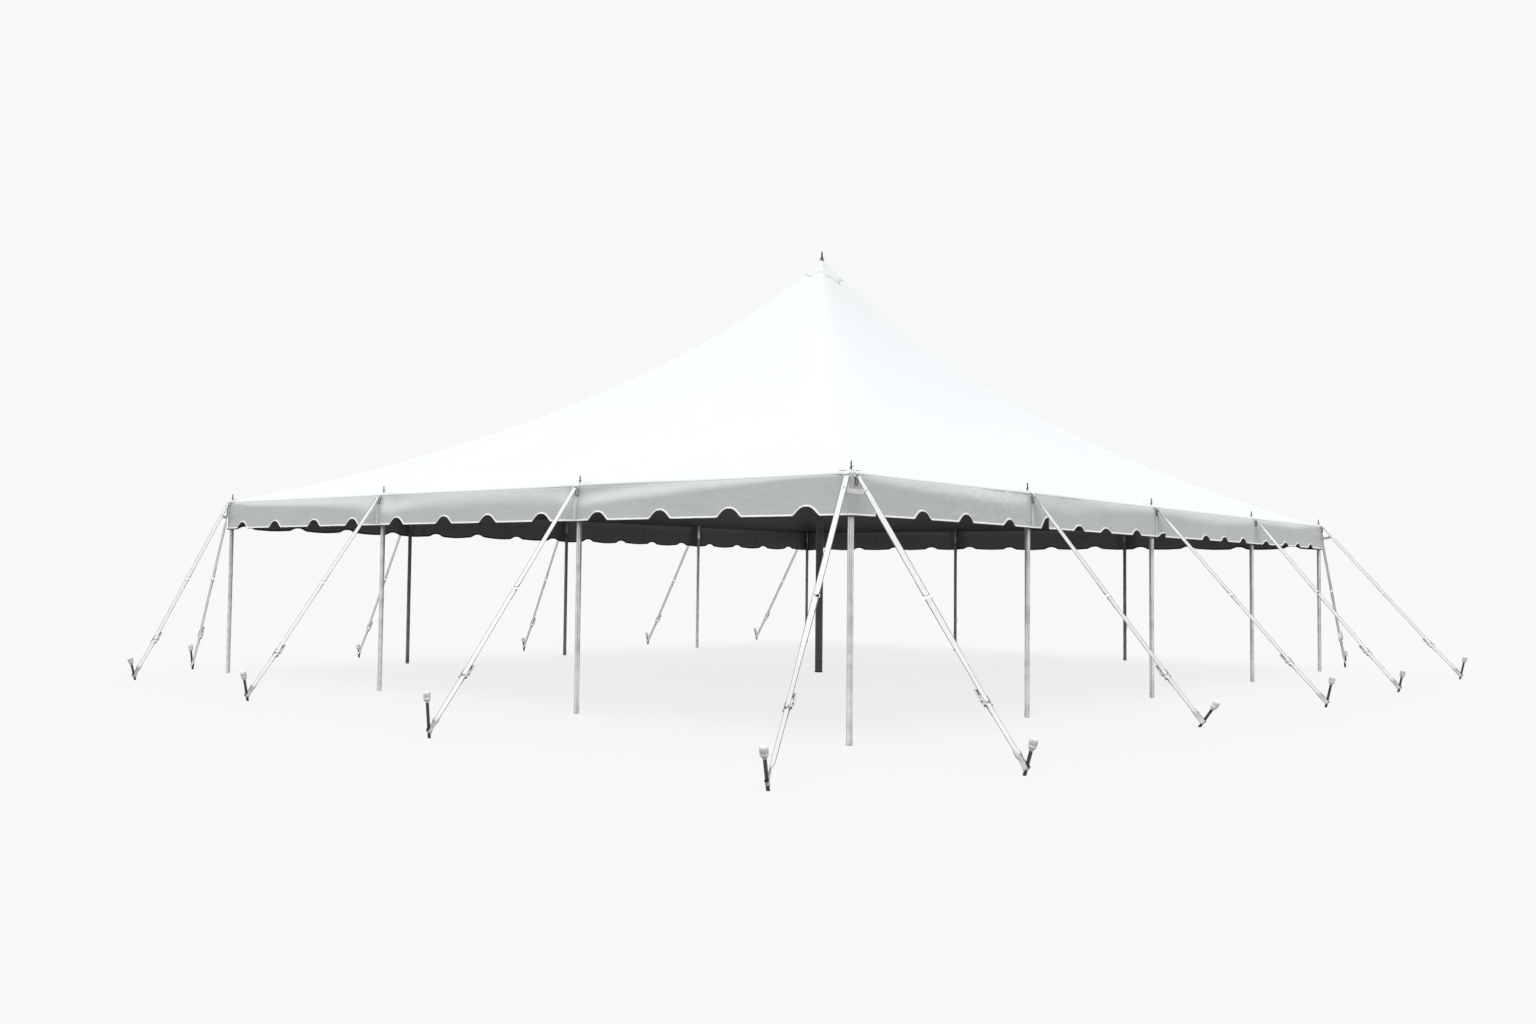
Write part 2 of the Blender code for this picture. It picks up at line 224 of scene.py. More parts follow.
# Studio: pale floor that meets an even pale backdrop, with a soft high key light from the camera's side
studio = {
    "backdrop": 0.94,
    "below": 0.10,  # light that comes back up from the ground
    "keyStrength": 1.42,
    "keyFrom": (-0.36, -0.20, 1.0),
    "keySoftness": 42.0,
    "floorHalf": 420.0,
    "floorShadow": 0.12,  # share of the near floor that takes real light and shade
    "floorWhite": 0.72,
    "fadeFrom": 15.0,
    "fadeTo": 30.0,
}


def makeStudio():
    scene = bpy.context.scene
    scene.view_settings.view_transform = "Standard"
    backdrop = (studio["backdrop"],) * 3
    sky = bpy.data.worlds.new("paleSky")
    scene.world = sky
    nodes = Nodes(sky)
    height = nodes.parts(nodes.add("ShaderNodeTexCoord", out="Generated"))[2]
    tone = nodes.blend(nodes.span(height, -0.14, -0.01), (studio["below"],) * 3, backdrop)
    nodes.feed(nodes.tree.nodes["Background"].inputs["Color"], tone)

    key = bpy.data.lights.new("softKey", "SUN")
    key.energy = studio["keyStrength"]
    key.angle = math.radians(studio["keySoftness"])
    lamp = linked("softKey", key)
    lamp.rotation_mode = "QUATERNION"
    lamp.rotation_quaternion = Vector(studio["keyFrom"]).to_track_quat("Z", "Y")

    bpy.ops.object.select_all(action="DESELECT")
    bpy.ops.mesh.primitive_plane_add(size=2 * studio["floorHalf"], location=(0, 0, -0.0005))
    floor = bpy.context.object
    floor.name = "studioFloor"
    bpy.ops.object.transform_apply(location=True, rotation=True, scale=True)
    nodes = Nodes(bpy.data.materials.new("paleFloor"))
    where = nodes.add("ShaderNodeTexCoord", out="Object")
    reach = nodes.add("ShaderNodeVectorMath", {"operation": "LENGTH"}, {0: where}, out="Value")
    near = 1 - nodes.span(reach, studio["fadeFrom"], studio["fadeTo"])
    real = nodes.add("ShaderNodeBsdfDiffuse", {}, {"Color": (studio["floorWhite"],) * 3 + (1,)})
    even = nodes.add("ShaderNodeEmission", {}, {"Color": (*backdrop, 1)})
    mixed = nodes.add("ShaderNodeMixShader", {}, {0: near * studio["floorShadow"], 1: even, 2: real})
    nodes.feed(nodes.tree.nodes["Material Output"].inputs["Surface"], mixed)
    floor.data.materials.append(nodes.owner)
    floor.visible_diffuse = False


makeStudio()
print("studio lit")


# Finishes
def seamLines(made, spacing, half):  # welded laps up the slopes, one at every step along the eave
    x, y, _ = made.parts(made.place)
    onFront = abs(y) * (1 / slopeY) > abs(x) * (1 / slopeX)
    along = x * onFront + y * (1 - onFront)
    step = along.work("PINGPONG", spacing / 2)
    hip = abs(abs(x) * (1 / slopeX) - abs(y) * (1 / slopeY)) * slopeY
    return 1 - made.span(step.work("MINIMUM", hip), half * 0.8, half)


def eaveCreaseShade(made):  # painted shade of the crease at the eave seam through the pins, which only shows close to the corners
    x, y, _ = made.parts(made.place)
    rows = []
    for across, line, along, end in ((y, polesY, x, polesX), (x, polesX, y, polesY)):
        row = 1 - made.span(abs(abs(across) - line), 0.003, 0.005)
        rows.append(row * (1 - made.span(end - abs(along), 0.25, 0.62)))
    return rows[0] + rows[1]


def canopyVinyl():
    made = Finish("canopyVinyl", (0.735, 0.785, 0.79), 0.42)
    flow = made.add("ShaderNodeUVMap", {"uv_map": "cloth"})
    broad = made.noise(made.place, 0.45, 3)
    streak = made.noise(flow, 1.0, 4, stretch=(2.6, 0.22, 1))
    speck = made.noise(made.place, 7.0, 5)
    seams = seamLines(made, bay / 2, 0.016)
    tone = made.blend(made.span(broad, 0.3, 0.7), (0.728, 0.780, 0.786), (0.745, 0.790, 0.794))
    tone = made.blend(made.span(streak, 0.62, 0.80) * 0.22, tone, (0.68, 0.72, 0.725))
    tone = made.blend(made.span(speck, 0.68, 0.82) * 0.12, tone, (0.62, 0.64, 0.63))
    tone = made.blend(seams * 0.14, tone, (0.67, 0.72, 0.725))
    tone = made.blend(eaveCreaseShade(made) * 0.55, tone, (0.50, 0.53, 0.53))
    made.give("Base Color", tone)
    made.give("Roughness", speck * 0.16 + 0.34)
    rippled = made.bump(made.noise(made.place, 2.3, 2), 0.009)
    made.bump(seams * 0.6 + made.noise(made.place, 160.0, 2) * 0.25, 0.0010, rippled)
    return made.owner


# Painted shade: the canopy's white vinyl with a greyer base, for the shade on the hanging sides
def valanceShadedVinyl():
    made = Finish("valanceShadedVinyl", (0.598, 0.621, 0.628), 0.45)
    flow = made.add("ShaderNodeUVMap", {"uv_map": "cloth"})
    along, height, _ = made.parts(flow)
    broad = made.noise(flow, 1.1, 3)
    streak = made.noise(flow, 1.0, 4, stretch=(14.0, 1.1, 1))
    speck = made.noise(made.place, 9.0, 5)
    low = 1 - made.span(height, 0.0, 0.16)
    tone = made.blend(made.span(broad, 0.3, 0.7), (0.582, 0.606, 0.612), (0.612, 0.636, 0.642))
    tone = made.blend(made.span(streak, 0.58, 0.76) * 0.15, tone, (0.55, 0.57, 0.57))
    tone = made.blend(made.span(speck, 0.62, 0.80) * low * 0.25, tone, (0.44, 0.44, 0.42))
    # Painted shade: dark marks in the creases along the sewn edge at the top of the front valance
    upper = made.span(height, 0.3065, 0.3095) * made.span(made.noise(flow, 5.0, 2), 0.36, 0.50)
    creaseShade = 1 - made.span(abs(along + 3.55), 0.35, 0.60)
    creaseShade = creaseShade + (1 - made.span(abs(along + 2.35), 0.15, 0.40)) * 0.5
    onFront = 1 - made.span(made.parts(made.place)[1], -4.4, -4.3)
    creaseShade = creaseShade * upper * onFront  # along the sewn edge
    tone = made.blend(creaseShade * 0.85, tone, (0.20, 0.21, 0.21))
    made.give("Base Color", tone)
    made.give("Roughness", speck * 0.16 + 0.36)
    creased = made.bump(made.noise(flow, 1.0, 3, stretch=(4.0, 9.0, 1)), 0.004)
    gathered = (1 - made.span(abs(along + 4.2), 0.5, 1.3)) * onFront  # fine slanted wrinkles near one end
    slanted = made.add("ShaderNodeCombineXYZ", {}, {"X": along * 15.0 + height * 11.0, "Y": height * 6.0})
    fine = made.noise(slanted, 1.0, 3)
    wrinkled = made.bump(fine * (gathered * 0.85 + 0.15), 0.005, creased)
    made.bump(made.noise(made.place, 160.0, 2), 0.0005, wrinkled)
    return made.owner


# Painted shade: the inside of the white vinyl is given dark greys, and the light factor makes a darker copy
# under the roof and a lighter one inside the valances
def shadedInnerVinyl(name, light):  # the light scales its greys
    def grey(*shade):
        return tuple(part * light for part in shade)

    made = Finish(name, grey(0.054, 0.057, 0.056), 0.66)
    made.shader.inputs["Specular IOR Level"].default_value = 0.15
    broad = made.noise(made.place, 0.7, 4)
    seams = seamLines(made, bay / 2, 0.018)
    doubled = made.add("ShaderNodeAttribute", {"attribute_name": "doubled"}, out="Fac")  # at the poles
    tone = made.blend(made.span(broad, 0.3, 0.7), grey(0.050, 0.053, 0.052), grey(0.058, 0.061, 0.060))
    tone = made.blend(seams * 0.5, tone, grey(0.032, 0.034, 0.034))
    tone = made.blend(doubled * 0.6, tone, grey(0.022, 0.024, 0.024))
    made.give("Base Color", tone)
    made.give("Roughness", broad * 0.2 + 0.55)
    made.bump(seams + doubled + made.noise(made.place, 3.0, 3) * 3.0, 0.0015)
    return made.owner


def webbing(name, tint, rib=0.0042, wide=0.050, edge=0.85):
    made = Finish(name, tint, 0.78)
    flow = made.add("ShaderNodeUVMap", {"uv_map": "cloth"})
    across, along, _ = made.parts(flow)
    ribs = (across * (math.tau / rib)).work("SINE")
    picks = (along * (math.tau / 0.0026)).work("SINE")
    weave = ribs * 0.5 + picks * ribs * 0.5
    worn = made.noise(made.place, 6.0, 4)
    # painted shade: dark stripes along both edges of the webbing
    edgeShade = made.span(abs(across - wide / 2), wide * 0.39, wide * 0.405)
    tone = made.blend(made.span(worn, 0.35, 0.75), tint, tuple(part * 0.93 for part in tint))
    tone = made.blend(made.span(weave, -0.9, 0.0) * -0.06 + 0.06, tone, (0.55, 0.56, 0.55))
    tone = made.blend(edgeShade * edge, tone, (0.06, 0.063, 0.06))
    sewn = made.add("ShaderNodeAttribute", {"attribute_name": "sewn"}, out="Fac")
    dash = along.work("PINGPONG", 0.004) < 0.0026
    rows = across.work("PINGPONG", 0.0083) < 0.0009
    thread = sewn * dash * rows
    tone = made.blend(thread * 0.35, tone, (0.45, 0.46, 0.46))
    made.give("Base Color", tone)
    made.bump(weave - thread, 0.00025)
    return made.owner


def bareMetal(name, light, dark, roughness, metallic, grime=0.4, brushed=(1, 1, 14), strips=0.0):
    made = Finish(name, light, roughness, metallic)
    cloudy = made.noise(made.place, 9.0, 5)
    lines = made.noise(made.place, 22.0, 3, stretch=brushed)
    fine = made.noise(made.place, 130.0, 3)
    tone = made.blend(made.span(cloudy, 0.35, 0.72), light, tuple((a + b) / 2 for a, b in zip(light, dark)))
    tone = made.blend(made.span(fine * 0.5 + cloudy * 0.5, 0.54, 0.66) * grime, tone, dark)
    if strips:  # painted reflections: long light and dark strips up the tube
        flow = made.add("ShaderNodeUVMap", {"uv_map": "cloth"})
        reflectionStreak = made.noise(flow, 1.0, 2, stretch=(85.0, 0.35, 1))
        tone = made.blend(made.span(reflectionStreak, 0.50, 0.58) * strips, tone, dark)
    made.give("Base Color", tone)
    made.give("Roughness", lines * 0.18 + cloudy * 0.16 + (roughness - 0.16))
    made.give("Metallic", metallic - made.span(fine, 0.55, 0.75) * 0.25)
    made.bump(lines + fine * 0.6, 0.0004)
    return made.owner


def capPlastic():
    made = Finish("capPlastic", (0.84, 0.85, 0.84), 0.38)
    scuff = made.noise(made.place, 26.0, 6)
    dirt = made.noise(made.place, 8.0, 4)
    tone = made.blend(made.span(scuff, 0.52, 0.72) * 0.5, (0.86, 0.87, 0.86), (0.66, 0.66, 0.63))
    tone = made.blend(made.span(dirt, 0.55, 0.8) * 0.35, tone, (0.52, 0.50, 0.45))
    made.give("Base Color", tone)
    made.give("Roughness", scuff * 0.3 + 0.28)
    made.bump(scuff, 0.0006)
    return made.owner


looks = {
    "canopy": canopyVinyl(),
    "valance": valanceShadedVinyl(),
    # painted shade: dark greys for the inside of the white vinyl, lighter inside the valances
    "inner": shadedInnerVinyl("shadedInnerVinyl", 0.88),
    "innerHang": shadedInnerVinyl("innerHangShadedVinyl", 4.7),
    # edge sets how dark the painted shade along the webbing's edges is
    "webbing": webbing("guyWebbing", (0.80, 0.81, 0.805)),
    "tab": webbing("tabWebbing", (0.88, 0.89, 0.885), edge=0.3),
    "hem": webbing("hemTape", (0.93, 0.94, 0.94), rib=0.0030, wide=0.026, edge=0.0),
    # strips sets the painted reflection strips up the poles
    "pole": bareMetal("poleAluminium", (0.80, 0.82, 0.82), (0.34, 0.35, 0.35), 0.40, 0.72, strips=0.75),
    # painted shade: a darker copy of the pole finish for the poles in shade
    "poleDull": bareMetal("poleDullSteel", (0.26, 0.27, 0.27), (0.05, 0.05, 0.05), 0.50, 0.55, strips=0.9),
    # painted shade: the centre pole's dark finish stands for the shade under the canopy
    "centre": bareMetal("centreShadeDark", (0.060, 0.064, 0.064), (0.16, 0.16, 0.15), 0.46, 0.35),
    "dark": bareMetal("darkSteel", (0.075, 0.075, 0.075), (0.03, 0.03, 0.03), 0.48, 0.70),
    "zinc": bareMetal(
        "zincPlate", (0.84, 0.85, 0.85), (0.45, 0.45, 0.44), 0.34, 0.80, grime=0.2, brushed=(1, 1, 1)
    ),
    "iron": bareMetal(
        "forgedIron", (0.085, 0.083, 0.080), (0.030, 0.028, 0.026), 0.58, 0.60, brushed=(1, 1, 3)
    ),
    "cap": capPlastic(),
}
print("finishes made:", len(looks))


# Making and finishing pieces
def addPiece(name, mesh, slot, *nodes):  # an object that rides, with the solids that it stands for
    mesh.name = name
    piece = linked(name, mesh)
    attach(piece, "root")
    if nodes:
        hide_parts(*nodes)
    return piece


def clothShape():  # a bmesh with coordinates along the cloth
    shape = bmesh.new()
    shape.loops.layers.uv.new("cloth")
    return shape


def addFace(shape, corners, look=0):  # corners are vertices with their places on the cloth
    flow = shape.loops.layers.uv["cloth"]
    face = shape.faces.new([vert for vert, _ in corners])
    face.material_index = look
    for loop, (_, spot) in zip(face.loops, corners):
        loop[flow].uv = spot
    return face


def meshPiece(shape, name, slot, finishes, *nodes, smoothed=True, sharp=0):  # a piece from a bmesh
    mesh = bpy.data.meshes.new(name)
    shape.to_mesh(mesh)
    shape.free()
    for finish in finishes:
        mesh.materials.append(looks[finish])
    if smoothed:
        mesh.shade_smooth()
    if sharp:
        mesh.set_sharp_from_angle(angle=math.radians(sharp))
    return addPiece(name, mesh, slot, *nodes)


def deselect():
    bpy.ops.object.select_all(action="DESELECT")


def applyPlace():
    bpy.ops.object.transform_apply(location=True, rotation=True, scale=True)


def choose(piece):  # the one selected and active object
    if bpy.context.mode != "OBJECT":
        bpy.ops.object.mode_set(mode="OBJECT")
    deselect()
    piece.select_set(True)
    bpy.context.view_layer.objects.active = piece


def modify(piece, kind, **values):  # adds a modifier and applies it
    choose(piece)
    bpy.ops.object.modifier_add(type=kind)
    modifier = piece.modifiers[-1]
    for name, value in values.items():
        setattr(modifier, name, value)
    bpy.ops.object.modifier_apply(modifier=modifier.name)


def thicken(piece, thick):  # cloth with its second finish on the inside
    modify(piece, "SOLIDIFY", thickness=thick, offset=-1, material_offset=1, use_even_offset=True)


def begin(operator, **values):  # a new primitive, in edit mode
    deselect()
    operator(**values)
    bpy.ops.object.mode_set(mode="EDIT")


def addTorus(radius, wire, around=24, wireSides=8):
    sizes = {"major_radius": radius, "minor_radius": wire}
    begin(bpy.ops.mesh.primitive_torus_add, major_segments=around, minor_segments=wireSides, **sizes)


def pick(what, test):  # in edit mode, selects the faces or edges that pass the test
    bpy.ops.mesh.select_mode(type=what)
    shape = bmesh.from_edit_mesh(bpy.context.object.data)
    bpy.ops.mesh.select_all(action="DESELECT")
    for item in shape.faces if what == "FACE" else shape.edges:
        item.select_set(test(item))
    shape.select_flush_mode()
    bmesh.update_edit_mesh(bpy.context.object.data)


def finishModel(finish, turn=None, move=None):  # leaves edit mode, places the model and gives its look
    bpy.ops.object.mode_set(mode="OBJECT")
    applyPlace()
    if turn:
        axis, angle = turn
        bpy.ops.transform.rotate(value=angle, orient_axis=axis, center_override=(0, 0, 0))
    if move:
        bpy.ops.transform.translate(value=move)
    applyPlace()
    model = bpy.context.object
    model.data.materials.clear()
    model.data.materials.append(looks[finish])
    return model


def turned(outline, sideCount, finish, turn=None, move=None):  # the outline is spun round Z
    radius, height = outline[0]
    begin(bpy.ops.mesh.primitive_plane_add, size=0.01, location=(radius, 0, height))
    bpy.ops.mesh.select_mode(type="VERT")
    bpy.ops.mesh.merge(type="CENTER")
    for (r0, z0), (r1, z1) in zip(outline, outline[1:]):
        bpy.ops.mesh.extrude_region_move(TRANSFORM_OT_translate={"value": (r1 - r0, 0, z1 - z0)})
    bpy.ops.mesh.select_all(action="SELECT")
    bpy.ops.mesh.spin(steps=sideCount, angle=math.tau, center=(0, 0, 0), axis=(0, 0, 1))
    bpy.ops.mesh.select_all(action="SELECT")
    bpy.ops.mesh.remove_doubles(threshold=0.00003)
    bpy.ops.mesh.normals_make_consistent(inside=False)
    return finishModel(finish, turn, move)


def zincPlate(size, place, roundness, segments=4):  # a plate with its corners rounded about Y
    def liesAcross(edge):
        run = edge.verts[1].co - edge.verts[0].co
        return abs(run.y) > 0.9 * run.length

    deselect()
    bpy.ops.mesh.primitive_cube_add(size=1, location=place, scale=size)
    applyPlace()
    bpy.ops.object.mode_set(mode="EDIT")
    pick("EDGE", liesAcross)
    bpy.ops.mesh.bevel(offset=roundness, segments=segments, affect="EDGES")
    return finishModel("zinc")


def joinModels(models, name, angle=35.0, bevel=0.0):
    deselect()
    for model in models:
        model.select_set(True)
    bpy.context.view_layer.objects.active = models[0]
    bpy.ops.object.join()
    model = bpy.context.object
    if bevel:
        modify(model, "BEVEL", width=bevel, segments=2, limit_method="ANGLE", angle_limit=math.radians(40))
    choose(model)
    bpy.ops.object.shade_smooth_by_angle(angle=math.radians(angle))
    model.name = name
    return model


def copyModel(model, name, slot, places, *nodes):  # one piece with its own mesh at one or more places
    shape = bmesh.new()
    for place in places:
        mesh = model.data.copy()
        mesh.transform(place)
        shape.from_mesh(mesh)
        bpy.data.meshes.remove(mesh)
    mesh = model.data.copy()
    mesh.clear_geometry()
    shape.to_mesh(mesh)
    shape.free()
    return addPiece(name, mesh, slot, *nodes)


def wrapFlow(model):  # coordinates round a tube and up it
    mesh = model.data
    flow = mesh.uv_layers.new(name="cloth")
    for face in mesh.polygons:
        spots = [mesh.vertices[mesh.loops[loop].vertex_index].co for loop in face.loop_indices]
        angles = [math.atan2(spot.y, spot.x) for spot in spots]
        if max(angles) - min(angles) > math.pi:
            angles = [angle + math.tau if angle < 0 else angle for angle in angles]
        for loop, angle, spot in zip(face.loop_indices, angles, spots):
            flow.data[loop].uv = (angle * 0.025, spot.z)


def dropModels(*models):
    for model in models:
        bpy.data.objects.remove(model, do_unlink=True)


# Canopy: one taut sheet, concave from the eave to the peak, its edge turned down over the valance
canopy = {
    "curve": 0.955,  # how strongly the slope steepens towards the peak
    "point": 0.946,
    "hipRounding": 0.25,
    "foldSoftness": 0.014,
    "turnRadius": 0.024,  # of the roll over the eave
    "turnBelow": 0.008,
    "setBack": 0.010,  # the eave's edge between the poles, in from the line of the hem
    "cornerRadius": 0.035,
    "spansPerBay": 24,
    "rings": 54,
    "peakHalf": 0.020,
    "thickness": 0.003,
    "pull": 0.0045,  # height of the tension folds that fan out from each pin
    "drift": 0.006,  # slow unevenness of the slopes
}


def roofTop(x, y):
    across, along = abs(x) / slopeX, abs(y) / slopeY
    soften = canopy["hipRounding"] * (1 - max(across, along)) * max(across, along)
    spread = (across + along + math.hypot(across - along, soften)) / 2
    end = math.exp(-canopy["curve"])
    rise = (peak - eave) * (math.exp(-canopy["curve"] * spread ** canopy["point"]) - end) / (1 - end)
    return eave + (rise + math.hypot(rise, canopy["foldSoftness"])) / 2


pins = [pole for side in ("front", "back") for pole in sides[side]["poles"]]
pins += [pole for side in ("left", "right") for pole in sides[side]["poles"][1:-1]]


def roofRipple(x, y):  # tension folds near the pins and a slow unevenness, none at the eave itself
    inside = min(slopeX - abs(x), slopeY - abs(y))
    if inside <= 0:
        return 0
    total = canopy["drift"] * noise.noise((x * 0.8, y * 0.8, 4.2)) * smooth(inside / 1.2)
    for pin in pins:
        reach = math.hypot(x - pin.x, y - pin.y)
        if reach < 1.6:
            angle = math.atan2(y - pin.y, x - pin.x)
            fan = math.sin(angle * 15 + pin.x) * math.exp(-((reach - 0.30) ** 2) / 0.20)
            total += canopy["pull"] * fan * smooth(inside / 0.12)
    return total


def roundedEdge(flat, inset=0.0):  # puts a point of the edge rectangle on the rounded one, with its way out
    radius = canopy["cornerRadius"]
    coreX, coreY = edgeX - radius, edgeY - radius
    core = Vector((min(coreX, max(-coreX, flat.x)), min(coreY, max(-coreY, flat.y)), 0))
    out = Vector((flat.x, flat.y, 0)) - core
    out.normalize()
    return core + out * (radius - inset), out


def edgeStations():  # points round the edge, closer at the corners, with their side and place along it
    near = [0, 0.006, 0.012, 0.020, 0.030, 0.045]
    places = []
    for side, turnBack in (("front", False), ("right", False), ("back", True), ("left", True)):
        info = sides[side]
        half = info["end"]
        count = info["bays"] * canopy["spansPerBay"]
        steps = [-half + part for part in near]
        steps += [-info["half"] + info["half"] * 2 * step / count for step in range(1, count)]
        steps += [half - part for part in near[:0:-1]]
        if turnBack:
            steps = [-step for step in steps]
        line = info["out"] * info["edge"]
        places += [(line + info["along"] * step, side, step) for step in steps]
    return places


# Valances: hung from the eave, with arched notches in a bound hem
valance = {
    "drop": 0.350,
    "top": 0.0322,  # how far under the eave the cloth carries on from the turned edge of the roof
    "notchesPerBay": 4,
    "notchWidth": 0.26,
    "notchHeight": {"front": 0.061, "left": 0.075, "back": 0.034, "right": 0.034},
    "lobeSag": {"front": 0.0, "left": 0.0, "back": 0.016, "right": 0.012},  # lobes that hang rounder
    "notchShift": {"front": -0.16, "back": -0.16, "left": 0.0, "right": 0.0},
    # notches cut off the even steps: the first of them, then how far each is moved and its height
    "single": {
        "front": (0, [
            (0.015, 0.07), (-0.08, 0.068), (-0.15, 0.07), (-0.12, 0.055), (-0.04, 0.105), (-0.11, 0.05),
            (-0.25, 0.045), (-0.2, 0.055), (-0.2, 0.045), (0.25, 0.055), (0.1, 0.054), (0.03, 0.056),
            (0.22, 0.045), (0.22, 0.045), (0, 0.045), (-0.1, 0.05),
        ]),
        "left": (6, [
            (-0.09, 0.075), (-0.08, 0.075), (-0.05, 0.075), (-0.06, 0.075),
        ]),
    },
    # where one panel laps over the next, only this part of a notch shows, from -1 to 1
    "stepped": {("front", 0): (0.0, 1), ("front", 4): (-1, 0.22), ("front", 8): (-1, 0.22)},
    "notchColumns": 20,
    "lobeColumns": 24,
    "rows": 30,
    "thickness": 0.0025,
    "hemWidth": 0.0150,
    "hemProud": 0.0078,  # the binding stands out at its lower edge
    "lip": 0.0060,  # the dark edge of the binding under the white, partly a painted shadow line
    "wrinkle": 0.0010,
    "gathered": -4.2,  # finer wrinkles on the front round this X
    "ease": 0.12,  # a lean fades over this length at the corners and beside the pins
    "pinHalf": 0.03,
    # The cloth leans out under the eave. At places along a side: the depth where it leans most, how far
    # above and below that the lean dies away, and how far it leans there.
    "front": [
        (-6.14, 0, 0.2, 0.05, 0.45), (-5.75, 0.005, 0.2, 0.11, 0.6), (-5.5, 0.01, 0.2, 0.13, 0.72),
        (-4.85, 0.03, 0.2, 0.14, 0.74), (-4.15, 0.05, 0.2, 0.15, 0.72), (-3.8, 0.06, 0.16, 0.15, 0.68),
        (-3.45, 0.08, 0.1, 0.12, 0.56), (-3.12, 0.06, 0.12, 0.12, 0.34), (-2.4, 0.08, 0.2, 0.18, 0.28),
        (-2.05, 0.03, 0.2, 0.21, 0.34), (-1.7, 0.012, 0.2, 0.15, 0.56), (-1.35, 0.018, 0.2, 0.15, 0.64),
        (-0.65, 0.012, 0.2, 0.115, 0.6), (0.4, 0.02, 0.2, 0.12, 0.6), (0.75, 0.025, 0.2, 0.15, 0.66),
        (1.8, 0.04, 0.2, 0.16, 0.66), (2.6, 0.045, 0.2, 0.11, 0.66), (3.1, 0.03, 0.2, 0.08, 0.55),
        (4.6, 0.05, 0.2, 0.085, 0.66), (6.14, 0, 0.2, 0.05, 0.45),
    ],
    "left": [
        (-4.62, 0, 0.2, 0.05, 0.45), (-4.35, 0.01, 0.2, 0.045, 0.62), (-4.05, 0.022, 0.2, 0.045, 0.74),
        (-3.7, 0.038, 0.2, 0.052, 0.76), (-3.35, 0.04, 0.2, 0.08, 0.78), (-3, 0.052, 0.12, 0.095, 0.78),
        (-2.65, 0.08, 0.1, 0.1, 0.76), (-2.3, 0.104, 0.095, 0.09, 0.76), (-1.95, 0.135, 0.1, 0.095, 0.7),
        (-1.6, 0.172, 0.11, 0.095, 0.62), (-1.25, 0.08, 0.2, 0.16, 0.36), (-0.9, 0.02, 0.2, 0.19, 0.5),
        (-0.2, 0.01, 0.2, 0.21, 0.6), (0.15, 0.04, 0.3, 0.2, 0.5), (0.6, 0.1, 0.4, 0.12, 0.46),
        (1.2, 0.17, 0.2, 0.09, 0.56), (1.6, 0.1, 0.3, 0.14, 0.6), (1.9, 0.05, 0.3, 0.16, 0.7),
        (2.25, 0.062, 0.3, 0.105, 0.78), (2.6, 0.066, 0.3, 0.08, 0.78), (3.9, 0.056, 0.3, 0.05, 0.76),
        (4.3, 0.035, 0.3, 0.046, 0.66), (4.62, 0, 0.2, 0.05, 0.45),
    ],
    "back": [
        (-6.14, 0, 0.2, 0.05, 0.4), (-3, 0.06, 0.2, 0.1, 0.5), (0, 0.02, 0.2, 0.11, 0.5),
        (3, 0.04, 0.2, 0.12, 0.5), (6.14, 0, 0.2, 0.05, 0.4),
    ],
    "right": [
        (-4.62, 0, 0.2, 0.05, 0.4), (-1.5, 0.02, 0.2, 0.1, 0.5), (1.5, 0.06, 0.2, 0.11, 0.5),
        (4.62, 0, 0.2, 0.05, 0.4),
    ],
}
seeds = {"front": 3.1, "left": 11.7, "back": 23.9, "right": 31.3}


def notchCut(side, number):  # how far a notch is moved along the side, and its height
    first, rows = valance["single"].get(side, (0, []))
    if 0 <= number - first < len(rows):
        return rows[number - first]
    return 0, valance["notchHeight"][side]


def notchMiddle(side, number):
    start = (number + 0.5) * bay / valance["notchesPerBay"] - sides[side]["half"]
    return start + valance["notchShift"][side] + notchCut(side, number)[0]


def hemRise(side, at):  # how far the hem is cut above its lowest line
    info = sides[side]
    place = (at - valance["notchShift"][side] + info["half"]) / bay * valance["notchesPerBay"]
    number = math.floor(place)
    part = (at - notchMiddle(side, number)) / (valance["notchWidth"] / 2)
    sag = valance["lobeSag"][side]
    sag *= noise.noise((at * 1.3, seeds[side], 0)) + 0.4 - smooth(abs(place - number - 0.5) * 2)
    low, high = valance["stepped"].get((side, number), (-1, 1))
    if abs(part) >= 1 or not 0 <= number < info["bays"] * valance["notchesPerBay"] or not low <= part <= high:
        return sag
    return sag + notchCut(side, number)[1] * (1 - abs(part) ** 2.5) ** 1.6


def eased(part):  # the area under a lean that dies away softly
    part = min(1, part)
    return part - part**3 + part**4 / 2


